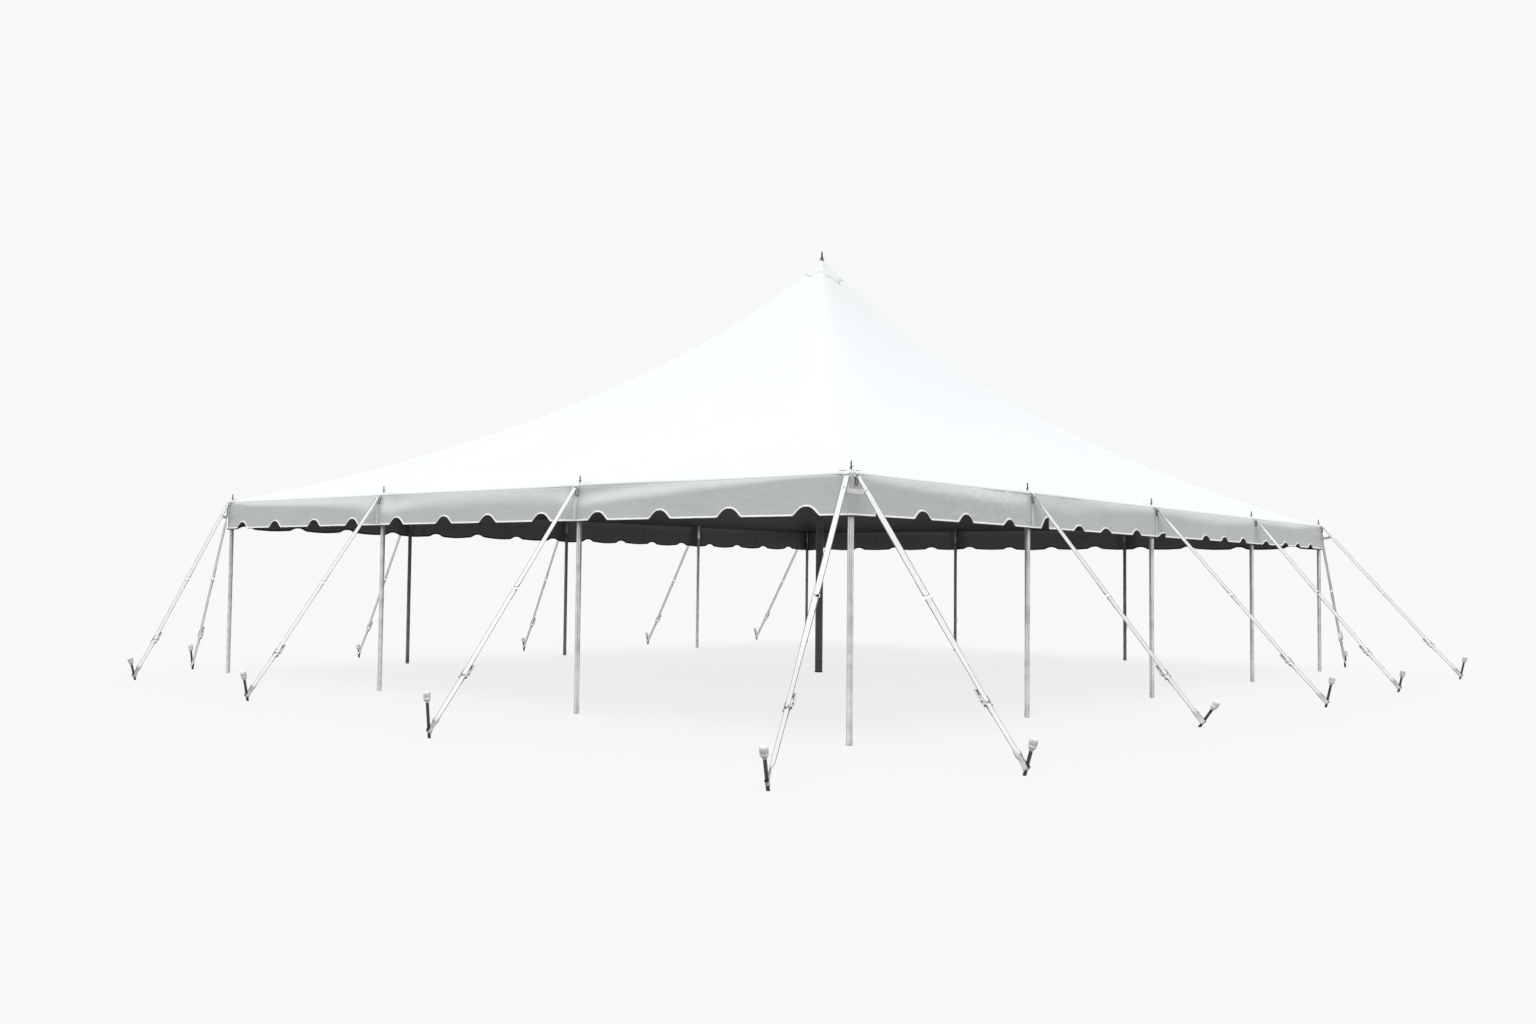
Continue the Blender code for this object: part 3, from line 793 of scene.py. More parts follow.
def billow(side, at, deep):  # how far the cloth stands out from the edge's line, this deep under the eave
    folds = valance[side]
    later = next((number for number, fold in enumerate(folds) if fold[0] >= at), len(folds) - 1)
    before, after = folds[max(0, later - 1)], folds[later]
    part = min(1, max(0, (at - before[0]) / (after[0] - before[0]))) if later else 0
    part = (part + smooth(part)) / 2
    most, above, under, slope = (a + (b - a) * part for a, b in zip(before[1:], after[1:]))
    lift = above * eased(most / above)
    lift += under * eased((deep - most) / under) if deep > most else -above * eased((most - deep) / above)
    corner = smooth((sides[side]["end"] - abs(at)) / valance["ease"])
    nearest = min(abs(at - place) for place in sides[side]["places"])
    pulled = 1 - smooth((nearest - valance["pinHalf"]) / valance["ease"])
    stand = lift * slope * (0.35 + 0.65 * corner) * (1 - pulled * 0.5) - canopy["setBack"] * corner
    loose = smooth((deep - valance["top"]) / 0.045) * corner
    slow = 0.005 * noise.noise((at * 0.9, deep * 2.4, seeds[side] + 5))
    gathered = math.exp(-((at - valance["gathered"]) ** 2)) if side == "front" else 0
    wrinkle = valance["wrinkle"] * (1 + 2.0 * gathered)
    fine = wrinkle * noise.noise((at * 9 + deep * 12, deep * 14 - at * 2.5, seeds[side] + 8))
    fine += wrinkle * 0.7 * noise.noise((at * 21 + deep * 16, deep * 10, seeds[side] + 2))
    return stand + (slow + fine) * loose


def valancePoint(side, at, z, proud=0.0):
    info = sides[side]
    spot, out = roundedEdge(info["out"] * info["edge"] + info["along"] * at)
    return spot + out * (billow(side, at, eave - z) + proud) + up * z


def buildCanopy():
    stations = edgeStations()
    turn, rings = canopy["turnRadius"], []
    rounded = canopy["cornerRadius"] * 0.9  # further in, a ring is a plain smaller rectangle
    rows = [(0.0, -turn - canopy["turnBelow"]), (0.0, -turn)]
    for angle in map(math.radians, (22, 45, 67, 90)):
        rows.append((turn * (1 - math.cos(angle)), -turn * (1 - math.sin(angle))))
    rows += [(step, 0.0) for step in (0.041, 0.050, 0.062, 0.074)]
    for inset, drop in rows:
        ring = []
        for station, side, at in stations:
            spot, out = roundedEdge(station, min(inset, rounded))
            if drop or inset:
                spot += out * billow(side, at, -drop)
            if inset >= rounded:
                spot = Vector((station.x * (edgeX - inset) / edgeX, station.y * (edgeY - inset) / edgeY, 0))
            level = eave if drop < -turn else roofTop(spot.x, spot.y)
            ring.append((spot.x, spot.y, level + drop))
        rings.append(ring)
    for step in range(canopy["rings"]):
        size = (1 - (step + 0.25) / canopy["rings"]) ** 1.25
        ring = []
        for station, _, _ in stations:
            x = station.x / edgeX * (canopy["peakHalf"] + (slopeX - canopy["peakHalf"]) * size)
            y = station.y / edgeY * (canopy["peakHalf"] + (slopeY - canopy["peakHalf"]) * size)
            ring.append((x, y, roofTop(x, y) + roofRipple(x, y)))
        rings.append(ring)

    distances, climb = [0.0], [0.0]
    for before, after in zip(stations, stations[1:] + stations[:1]):
        distances.append(distances[-1] + (after[0] - before[0]).length)
    count = len(stations)
    for lower, upper in zip(rings, rings[1:]):
        climb.append(climb[-1] + (Vector(upper[count // 8]) - Vector(lower[count // 8])).length)
    shape = clothShape()
    grid = [[shape.verts.new(point) for point in ring] for ring in rings]
    for row in range(len(grid) - 1):
        for index in range(count):
            corners = []
            for place, level in ((index, row), (index + 1, row), (index + 1, row + 1), (index, row + 1)):
                corners.append((grid[level][place % count], (distances[place], climb[level])))
            addFace(shape, corners)
    shape.faces.new(grid[-1])
    roof = meshPiece(shape, "canopySheet", "canopy_vinyl", ("canopy", "inner"), "canopy_roof")
    thicken(roof, canopy["thickness"])
    return roof


roof = buildCanopy()
print("canopy made:", len(roof.data.polygons), "faces")


def valanceColumns(side):  # places along a side: close together in the notches and at the corners
    info, width, end = sides[side], valance["notchWidth"], sides[side]["end"]
    near = (0, 0.008, 0.016, 0.026, 0.040)
    columns = [-end + part for part in near] + [end - part for part in near]
    for index in range(-1, info["bays"] * valance["notchesPerBay"] + 1):
        middle, after = notchMiddle(side, index), notchMiddle(side, index + 1)
        for step in range(valance["notchColumns"] + 1):
            columns.append(middle + width * (step / valance["notchColumns"] - 0.5))
        for step in range(1, valance["lobeColumns"]):
            columns.append(middle + width / 2 + (after - middle - width) * step / valance["lobeColumns"])
        cut = valance["stepped"].get((side, index))
        for part in (cut or ()):
            if abs(part) < 1:
                columns += [middle + part * width / 2 - 0.0007, middle + part * width / 2 + 0.0007]
    inside = sorted(set(round(column, 5) for column in columns if abs(column) <= end + 0.00001))
    return [inside[0]] + [b for a, b in zip(inside, inside[1:]) if b - a > 0.0011]


def lace(shape, side, first, second, pairs, looksOf=None):  # faces between two columns, facing outwards
    for number, (low, high) in enumerate(pairs):
        corners = [first[low], second[low], second[high], first[high]]
        if side in ("back", "left"):
            corners.reverse()
        addFace(shape, corners, looksOf[number] if looksOf else 0)


def buildValance(side):
    top, bottom, rows = eave - valance["top"], eave - valance["drop"], valance["rows"]
    shape = clothShape()
    doubled = shape.verts.layers.float.new("doubled")
    grid = []
    for at in valanceColumns(side):
        hem = bottom + hemRise(side, at)
        heights = [hem + (top - hem) * row / rows for row in range(rows + 1)]
        grid.append([(shape.verts.new(valancePoint(side, at, z)), (at, z - bottom)) for z in heights])
        for vert, _ in grid[-1]:
            vert[doubled] = 1 if min(abs(at - place) for place in sides[side]["places"]) < 0.14 else 0
    for first, second in zip(grid, grid[1:]):
        lace(shape, side, first, second, [(row, row + 1) for row in range(rows)])
    name, finishes = "valance" + side.capitalize(), ("valance", "innerHang")
    cloth = meshPiece(shape, name, "valance_vinyl", finishes, "valance_" + side)
    thicken(cloth, valance["thickness"])
    return cloth


def buildHem(side):  # binding folded over the cut edge, white outside, with a dark lip and dark inside in the painted-shade inner finish; the lip also stands for a shadow line under the hem
    bottom, step = eave - valance["drop"], 0.0008
    wide, proud, back = valance["hemWidth"], valance["hemProud"], -valance["thickness"] - 0.0015
    lip = -valance["lip"]
    profile = [(wide, 0.0006, 0.0, 0), (0.0, proud, wide, 1), (lip, proud * 0.5, wide, 1)]
    profile += [(lip, back, wide, 1), (wide, back, 0.0, 1)]
    shape = clothShape()
    rings, run = [], 0.0
    for at in valanceColumns(side):
        slope = (hemRise(side, at + step) - hemRise(side, at - step)) / (2 * step)
        across = Vector((-slope, 1)).normalized()
        points = []
        for reach, stand, _, _ in profile:
            spot = Vector((at, bottom + hemRise(side, at))) + across * reach
            points.append(valancePoint(side, spot.x, spot.y, stand))
        if rings:
            run += (points[0] - rings[-1][0][0].co).length
        rings.append([(shape.verts.new(point), (row[2], run)) for point, row in zip(points, profile)])
    pairs = [(index, (index + 1) % len(profile)) for index in range(len(profile))]
    for first, second in zip(rings, rings[1:]):
        lace(shape, side, first, second, pairs, [row[3] for row in profile])
    for ring in (rings[0], rings[-1]):
        shape.faces.new([vert for vert, _ in ring])
    bmesh.ops.recalc_face_normals(shape, faces=shape.faces)
    return meshPiece(shape, "hem" + side.capitalize(), "valance_vinyl", ("hem", "inner"), sharp=35)


cloths = {}
for side in sides:
    cloths[side] = buildValance(side)
    cloths[side + "Hem"] = buildHem(side)
print("valances hung")


# Webbing straps: a flat strip through stations of (point, width direction, half width, sewn)
strapSize = {"half": 0.025, "thick": 0.0024, "edge": 0.0012}


def addStrip(shape, stations):
    sewn = shape.verts.layers.float.get("sewn") or shape.verts.layers.float.new("sewn")
    thick, edge = strapSize["thick"], strapSize["edge"]
    rings, run, faces = [], 0.0, []
    for index, (point, wide, half, mark) in enumerate(stations):
        before = stations[max(0, index - 1)][0]
        after = stations[min(len(stations) - 1, index + 1)][0]
        run += (point - before).length
        normal = (after - before).normalized().cross(wide).normalized()
        profile = [(-half, 0), (-half + edge, thick / 2), (half - edge, thick / 2)]
        profile += [(half, 0), (half - edge, -thick / 2), (-half + edge, -thick / 2)]
        ring = []
        for across, lift in profile:
            vert = shape.verts.new(point + wide * across + normal * lift)
            vert[sewn] = mark
            ring.append((vert, (across + strapSize["half"], run)))
        rings.append(ring)
    for first, second in zip(rings, rings[1:]):
        for index in range(6):
            after = (index + 1) % 6
            faces.append(addFace(shape, [first[index], first[after], second[after], second[index]]))
    faces += [shape.faces.new([vert for vert, _ in ring]) for ring in (rings[0], rings[-1])]
    bmesh.ops.recalc_face_normals(shape, faces=faces)


def stripPiece(name, strips, look, *nodes):
    shape = clothShape()
    for stations in strips:
        addStrip(shape, stations)
    return meshPiece(shape, name, "guy_webbing", (look,), *nodes, smoothed=False)


# Guys and stakes: out from the poles, along the side, the length that shows, the lean, and how far
# the webbing is turned about its own line, both in degrees
stakes = {
    "front": [
        (1.66, -0.40, 0.27, 18, -30),
        (1.42, 0.48, 0.28, 33, -40),
        (1.67, 0.41, 0.33, 12, -40),
        (1.72, -0.13, 0.27, 12, -35),
        (1.78, 0.00, 0.32, 12, -42),
    ],
    "left": [
        (2.15, -0.85, 0.31, 22, -8),
        (2.10, -0.50, 0.37, 7, 3),
        (1.62, -0.07, 0.30, 12, 15),
        (1.32, -0.26, 0.275, 17, 15),
    ],
    "back": [
        (0.80, -0.03, 0.32, 13, 90),
        (1.40, 0.19, 0.20, 12, 92),
        (1.20, 0.24, 0.22, 12, 95),
        (1.30, 0.16, 0.22, 12, 95),
        (1.20, 0.00, 0.24, 12, 90),
    ],
    "right": [
        (1.30, 0.00, 0.26, 12, 65),
        (1.40, 0.58, 0.28, 12, 75),
        (1.35, 0.76, 0.28, 12, 75),
        (1.25, 0.90, 0.28, 12, 75),
    ],
    "radius": 0.0125,
}
guy = {
    "below": 0.026,  # the ring hangs this far under the eave
    "ringOut": 0.0085,  # its inner bar, out from the cloth
    "barGap": 0.036,  # between the two bars of a ring
    "wrap": 0.0046,  # from the middle of a bar to the middle of the webbing round it
    "lap": 0.125,  # webbing folded back and sewn
    "longLaps": {("front", 0): 0.30},
    "jointAt": 0.45,  # parts of the guy's length
    "ratchetAt": 0.755,
    "twistFrom": 0.070,  # the webbing turns about its line between these distances
    "twistTo": 0.300,
    "lowerTurn": {("front", 0): 28, ("left", 0): -24},  # degrees more, between the joint and the ratchet
    "lowerFrom": 0.535,  # parts of the guy's length
    "lowerTo": 0.70,
    "spoolAt": 0.108,  # along the ratchet
    "boltAt": 0.148,
    "lead": 0.03,  # plain webbing before the sewn lap
    "sewFrom": 0.035,  # from a bar to where the fold is sewn
    "barClear": 0.016,  # from a bar to where both layers lie together
    "flapUnder": 0.0030,
    "coil": 0.0138,  # radius of the webbing on the spool, and how much it shrinks with each turn
    "coilStep": 0.0026,
    "axleDrop": 0.012,  # the axle and the bolt of the ratchet lie this far under the webbing
    "boltDrop": 0.004,
    "lowerLap": 0.085,  # of the short lower length
    "lapClear": 0.118,  # from the bolt to where that length can turn
    "straightFrom": 0.125,  # with more room than this it runs straight first
    "loopGap": 0.0014,  # from the middle to each sewn end of the loop
    "loopPlay": 0.0016,  # round the stake
    "loopFlap": 0.06,
    "footUp": 0.050,  # where the straight line of the guy meets the stake
    "loopUp": 0.055,  # height of the loop on the stake
    "loopJoin": 0.045,
    "loopHalf": 0.024,
    "twistEnd": 0.095,
}


def guyFrame(side, index):  # everything that places one guy and its stake
    info = sides[side]
    far, aside, showing, lean, roll = stakes[side][index]
    pole, lean = info["poles"][index], math.radians(lean)
    ground = pole + info["out"] * far + info["along"] * aside
    level = (ground - pole).normalized()
    made = {"ground": ground, "showing": showing, "roll": math.radians(roll)}
    made["axis"] = level * math.sin(lean) + up * math.cos(lean)
    made["away"] = level * math.cos(lean) - up * math.sin(lean)
    made["start"] = pole + info["out"] * (tent["edgeOut"] + guy["ringOut"])
    made["start"].z = eave - guy["below"]
    foot = ground + made["axis"] * guy["footUp"] - made["away"] * stakes["radius"]
    made["line"] = (foot - made["start"]).normalized()
    made["across"] = made["line"].cross(up).normalized()
    made["above"] = made["across"].cross(made["line"])
    made["lower"] = math.radians(guy["lowerTurn"].get((side, index), 0))
    made["length"] = (foot - made["start"]).length
    return made


def rolled(place, far):  # the webbing's width and its upper side, turned about the line
    angle = place["roll"] * smooth((far - guy["twistFrom"]) / (guy["twistTo"] - guy["twistFrom"]))
    part = (far / place["length"] - guy["lowerFrom"]) / (guy["lowerTo"] - guy["lowerFrom"])
    angle += place["lower"] * smooth(part)
    wide = place["across"] * math.cos(angle) + place["above"] * math.sin(angle)
    return wide, place["above"] * math.cos(angle) - place["across"] * math.sin(angle)


def alongGuy(place, far):  # puts a model on the guy, turned with the webbing
    wide, high = rolled(place, far)
    return placing(place["start"] + place["line"] * far, place["line"], -wide, high)


def lapped(end, way, wrap, lap):  # webbing that goes round a bar at end and is sewn back under itself
    rows = [guy["sewFrom"] + (lap - guy["sewFrom"]) * step / 6 for step in range(7)]
    near = end - way * guy["barClear"]
    path = [(end - way * (lap + guy["lead"]), 0.0, 0)] + [(end - way * row, 0.0, 1) for row in rows[::-1]]
    path.append((near, wrap * 0.45, 0))
    for step in range(7):
        angle = math.pi * step / 6
        path.append((end + way * wrap * math.sin(angle), wrap * math.cos(angle), 0))
    path.append((near, -wrap * 0.85, 0))
    return path + [(end - way * row, -guy["flapUnder"], 1) for row in rows]


def buildStrap(side, index):
    place = guyFrame(side, index)
    line, half, loopHalf = place["line"], strapSize["half"], guy["loopHalf"]

    def lay(path):
        made = []
        for far, lift, mark in path:
            wide, high = rolled(place, far)
            made.append((place["start"] + line * far + high * lift, wide, half, mark))
        return made

    joint = place["length"] * guy["jointAt"]
    ratchet = place["length"] * guy["ratchetAt"]
    wrap, lap = guy["wrap"], guy["lap"]
    upper = lapped(guy["barGap"], -1, wrap, guy["longLaps"].get((side, index), lap))[::-1]
    turning = [upper[-1][0] + 0.02 * step for step in range(1, 9)]
    upper += [(far, 0.0, 0) for far in turning] + lapped(joint, 1, wrap, lap)
    spool = ratchet + guy["spoolAt"]
    lower = lapped(joint + guy["barGap"], -1, wrap, lap)[::-1]
    lower += [(lower[-1][0] + (ratchet - lower[-1][0]) * step / 9, 0.0, 0) for step in range(1, 9)]
    lower += [(ratchet, 0.0, 0), (spool - 0.030, 0.0, 0)]
    for step in range(19):  # wound on the spool
        angle = math.radians(90 - step * 30)
        reach = guy["coil"] - guy["coilStep"] * step / 12
        lower.append((spool + reach * math.cos(angle), reach * math.sin(angle) - guy["axleDrop"], 0))

    # the short lower length: round the ratchet's bolt, down, a part turn, and a loop round the stake
    wide, high = rolled(place, ratchet)
    bolt = place["start"] + line * (ratchet + guy["boltAt"]) - high * guy["boltDrop"]
    centre = place["ground"] + place["axis"] * guy["loopUp"]
    way, reach = (centre - bolt).normalized(), (centre - bolt).length
    wide = (wide - way * wide.dot(way)).normalized()
    upright = (place["axis"] - way * place["axis"].dot(way)).normalized()
    if wide.dot(upright) < 0:
        upright = -upright
    total = wide.angle(upright)
    beside = (upright - wide * upright.dot(wide)).normalized()
    first = lapped(0.0, -1, wrap + 0.0006, guy["lowerLap"])[::-1]
    stations = [(bolt + way * far + wide.cross(way) * lift, wide, half, mark) for far, lift, mark in first]
    join = reach - guy["loopJoin"]
    twistFrom, twistTo = join - guy["twistEnd"] - 0.02, join - 0.02
    if twistFrom > guy["straightFrom"]:
        stations.append((bolt + way * twistFrom, wide, half, 0))
    twistFrom = max(twistFrom, guy["lapClear"])
    for step in range(1, 11):
        part = step / 10
        angle = smooth(part) * total
        spot = bolt + way * (twistFrom + (twistTo - twistFrom) * part)
        facing = wide * math.cos(angle) + beside * math.sin(angle)
        stations.append((spot, facing, half + (loopHalf - half) * part, 0))
    aside = way.cross(upright).normalized()
    stations.append((bolt + way * join + aside * guy["loopGap"], upright, loopHalf, 1))
    tilt = math.sqrt(max(0.05, 1 - way.dot(place["axis"]) ** 2))
    longHalf, wideHalf = stakes["radius"] / tilt + guy["loopPlay"], stakes["radius"] + guy["loopPlay"]
    for angle in map(math.radians, range(120, -121, -15)):
        spot = centre + way * longHalf * math.cos(angle) + aside * wideHalf * math.sin(angle)
        stations.append((spot, upright, loopHalf, 0))
    for far in (join, join - guy["loopFlap"]):
        stations.append((bolt + way * far - aside * guy["loopGap"], upright, loopHalf, 1))
    number = f"{side}_{index + 1}"
    return stripPiece("strap_" + number, [lay(upper), lay(lower), stations], "webbing", "guy_" + number)


ringSize = {"radius": 0.009, "wire": 0.0031, "halfBar": 0.0205}


def modelRing():  # a welded ring with straight bars for the webbing
    addTorus(ringSize["radius"], ringSize["wire"])
    reaches = ((0, ringSize["radius"]), (1, ringSize["halfBar"]))
    for index, reach, way in [(*row, way) for row in reaches for way in (1, -1)]:
        pick("FACE", lambda face: face.calc_center_median()[index] * way > 0.0001)
        move = [0, 0, 0]
        move[index] = way * reach
        bpy.ops.transform.translate(value=move)
    return finishModel("zinc")


link = {"radius": 0.0155, "wire": 0.0032, "straight": 0.046, "low": 0.104, "high": 0.058, "out": 0.0085}


def modelLink():  # a long dark link that hangs on the tab under each pin
    addTorus(link["radius"], link["wire"])
    pick("FACE", lambda face: face.calc_center_median().y > 0.0001)
    bpy.ops.transform.translate(value=(0, link["straight"], 0))
    return finishModel("dark")


def modelRatchet():  # frame, spool with toothed wheels, closed handle, pawl and bolt
    axleX, axleZ, boltX, boltZ = guy["spoolAt"], -guy["axleDrop"], guy["boltAt"], -guy["boltDrop"]
    quarter = ("X", math.pi / 2)

    def isTooth(edge):
        spot, other = edge.verts[0].co, edge.verts[1].co
        return abs(spot.z - other.z) > 0.001 and round(math.degrees(math.atan2(spot.y, spot.x)) / 15) % 2 == 1

    models = []
    for way in (-1, 1):
        models.append(zincPlate((0.090, 0.0025, 0.028), (0.114, way * 0.0295, -0.009), 0.010))
        models.append(zincPlate((0.118, 0.0028, 0.016), (0.062, way * 0.0345, -0.018), 0.0072))
        begin(bpy.ops.mesh.primitive_cylinder_add, vertices=24, radius=0.0185, depth=0.0026)
        pick("EDGE", isTooth)
        bpy.ops.transform.resize(value=(0.80, 0.80, 1), center_override=(0, 0, 0))
        models.append(finishModel("zinc", quarter, (axleX, way * 0.0320, axleZ)))
    for radius, length, x, z, look in (
        (0.0080, 0.074, axleX, axleZ, "dark"),
        (0.0048, 0.072, boltX, boltZ, "dark"),
        (0.0092, 0.066, 0.012, -0.021, "zinc"),
        (0.0032, 0.070, 0.084, -0.022, "zinc"),
    ):
        half, chamfer = length / 2, radius * 0.3
        rod = [(0, -half), (radius * 0.8, -half), (radius, -half + chamfer), (radius, half - chamfer)]
        models.append(turned(rod + [(radius * 0.8, half), (0, half)], 16, look, quarter, (x, 0, z)))
    for size, place, roundness in (
        ((0.036, 0.062, 0.0025), (0.074, 0, -0.0225), 0.0008),
        ((0.034, 0.068, 0.0028), (0.034, 0, -0.0245), 0.0008),
        ((0.016, 0.074, 0.0045), (0.092, 0, -0.0280), 0.0014),
    ):
        models.append(zincPlate(size, place, roundness, segments=2))
    for way in (-1, 1):  # nut and head of the bolt
        begin(bpy.ops.mesh.primitive_cylinder_add, vertices=6, radius=0.0085, depth=0.0055)
        pick("FACE", lambda face: abs(face.normal.z) > 0.9)
        bpy.ops.mesh.inset(thickness=0.0015, depth=0.0008)
        models.append(finishModel("dark", quarter, (boltX, way * 0.0335, boltZ)))
    return joinModels(models, "ratchetModel", 32.0, bevel=0.0005)


def hangLink(side, index):  # flat on the tab, leaning with the cloth behind it
    out, along = sides[side]["out"], sides[side]["along"]
    edge = sides[side]["poles"][index] + out * tent["edgeOut"]
    at = edge.dot(along)
    ends = []
    for deep in (link["low"], link["high"]):
        near = [(at + step, deep + drop) for step in (-0.018, 0.018) for drop in (-0.01, 0.01)]
        stand = max(billow(side, *spot) for spot in near)
        ends.append(edge + out * (stand + link["out"]) + up * (eave - deep) - along * 0.006)
    climb = (ends[1] - ends[0]).normalized()
    return placing(ends[0], along, climb, along.cross(climb))


def buildGuys():
    ring, ratchet, hook = modelRing(), modelRatchet(), modelLink()
    for model in (ring, hook):
        choose(model)
        bpy.ops.object.shade_smooth()
    for side in sides:
        for index in range(len(stakes[side])):
            place, number = guyFrame(side, index), f"{side}_{index + 1}"
            buildStrap(side, index)
            joint, buckle = place["length"] * guy["jointAt"], place["length"] * guy["ratchetAt"]
            spots = [alongGuy(place, far + guy["barGap"] / 2) for far in (0, joint)]
            copyModel(ring, "rings_" + number, "guy_webbing", spots)
            copyModel(ratchet, "ratchet_" + number, "guy_webbing", [alongGuy(place, buckle)])
            if side in ("front", "back") or 0 < index < len(stakes[side]) - 1:  # one at a corner
                copyModel(hook, "link_" + number, "guy_webbing", [hangLink(side, index)])
    dropModels(ring, ratchet, hook)


buildGuys()
print("guys strung")


# Webbing tabs over the eave at each pin, with the keeper that holds the ring
tab = {"inward": 0.105, "proud": 0.0024, "short": 0.150, "long": 0.335, "half": 0.024, "keeperHalf": 0.021}
longTabs = {("front", 1), ("front", 2), ("left", 1), ("left", 2)}


def buildTab(side, index):
    out, along = sides[side]["out"], sides[side]["along"]
    pole = sides[side]["poles"][index]
    at = pole.dot(along)
    turn, lift = canopy["turnRadius"], tab["proud"]
    stations = []
    for step in range(7):
        inward = tab["inward"] + (turn + canopy["setBack"] - tent["edgeOut"] - tab["inward"]) * step / 6
        spot = pole - out * inward
        stations.append((Vector((spot.x, spot.y, roofTop(spot.x, spot.y) + lift)), along, tab["half"], 1))
    edge = pole + out * tent["edgeOut"]
    for angle in map(math.radians, (70, 45, 20)):
        stand = billow(side, at, turn * (1 - math.sin(angle)))
        spot = edge + out * ((turn + lift) * math.cos(angle) - turn + stand)
        spot = spot + up * (eave - turn + (turn + lift) * math.sin(angle))
        stations.append((spot, along, tab["half"], 0))
    length = tab["long"] if (side, index) in longTabs else tab["short"]
    for step in range(11):
        z = eave - turn - (length - turn) * step / 10
        spot = edge + out * (billow(side, at, eave - z) + lift) + up * z
        stations.append((spot, along, tab["half"], 1 if step > 4 else 0))
    keeper = [(billow(side, at, guy["below"] - 0.010) + 0.0045, 0.010)]
    for angle in (0.5, 1.2, 1.9, 2.6):
        keeper.append((guy["ringOut"] + guy["wrap"] * math.sin(angle), guy["wrap"] * math.cos(angle)))
    keeper += [(billow(side, at, guy["below"] - z) + 0.0054, z) for z in (-0.014, -0.042)]
    path = []
    for stand, z in keeper:
        spot = edge + out * stand + up * (eave - guy["below"] + z)
        path.append((spot, along, tab["keeperHalf"], 1 if abs(z) > 0.02 else 0))
    return stripPiece(f"tab_{side}_{index + 1}", [stations, path], "tab")


tie = {"down": 0.19, "lift": 0.002, "sag": 0.012, "half": 0.019}


def buildCornerTie(number, first, second):  # short webbing between the two guys of a corner
    ends = []
    for side, index in (first, second):
        place = guyFrame(side, index)
        high = rolled(place, tie["down"])[1]
        ends.append(place["start"] + place["line"] * tie["down"] + high * tie["lift"])
    run = (ends[1] - ends[0]).normalized()
    wide = run.cross((sides[first[0]]["out"] + sides[second[0]]["out"]).normalized()).normalized()
    stations = []
    for part in [step / 8 for step in range(9)]:
        point = ends[0].lerp(ends[1], part) - up * tie["sag"] * math.sin(part * math.pi)
        stations.append((point, wide, tie["half"], 1 if part < 0.2 or part > 0.8 else 0))
    return stripPiece(f"cornerTie_{number}", [stations], "webbing")


for side in sides:
    for index in range(sides[side]["bays"] + 1):
        buildTab(side, index)
buildCornerTie(1, ("front", 0), ("left", 0))
buildCornerTie(2, ("front", 4), ("right", 0))
buildCornerTie(3, ("back", 0), ("left", 3))
buildCornerTie(4, ("back", 4), ("right", 3))
print("tabs sewn")

# Stakes and caps
cap = {"radius": 0.029, "neck": 0.0168, "height": 0.088}


def buildStakes():
    r, neck, tall = cap["radius"], cap["neck"], cap["height"]
    profile = [(0, 0.004), (0.0132, 0.004), (0.0140, 0), (neck, 0.0006), (neck + 0.0006, 0.010)]
    profile += [(0.0255, 0.019)]
    profile += [(r - 0.0008, 0.024), (r, 0.029), (r, 0.040), (r - 0.0010, 0.0414), (r - 0.0010, 0.0440)]
    profile += [(r, 0.0454), (r, 0.073), (r - 0.0010, 0.0800), (r - 0.0040, 0.0855), (r - 0.0090, tall)]
    profile += [(r - 0.0100, tall - 0.0008), (0, tall - 0.0008)]
    capModel = joinModels([turned(profile, 28, "cap")], "capModel", 40.0)
    radius = stakes["radius"]
    bar = [(0, 0), (radius * 0.98, 0), (radius, -0.010), (radius, -0.55), (0, -0.55)]
    barModel = joinModels([turned(bar, 20, "iron")], "barModel", 40.0)
    for side in sides:
        for index in range(len(stakes[side])):
            place, number = guyFrame(side, index), f"{side}_{index + 1}"
            axis, away = place["axis"], place["away"]
            axes = (away, axis.cross(away), axis)
            foot = place["ground"] + axis * (place["showing"] - tall)
            copyModel(capModel, "cap_" + number, "stake_steel", [placing(foot, *axes)])
            spots = [placing(foot + axis * 0.03, *axes)]
            choose(copyModel(barModel, "bar_" + number, "stake_steel", spots, "stake_" + number))
            bpy.ops.object.mode_set(mode="EDIT")
            bpy.ops.mesh.select_all(action="SELECT")
            bpy.ops.mesh.bisect(plane_co=(0, 0, 0), plane_no=(0, 0, 1), use_fill=True, clear_inner=True)
            bpy.ops.object.mode_set(mode="OBJECT")
    dropModels(capModel, barModel)


buildStakes()
print("stakes driven")

# Side poles: tube with a foot cap and a pin through the eave
sidePole = {"radius": 0.025, "footRadius": 0.0262, "footHeight": 0.060, "pin": 0.0060, "pinAbove": 0.080}
poleTop = eave - 0.0043


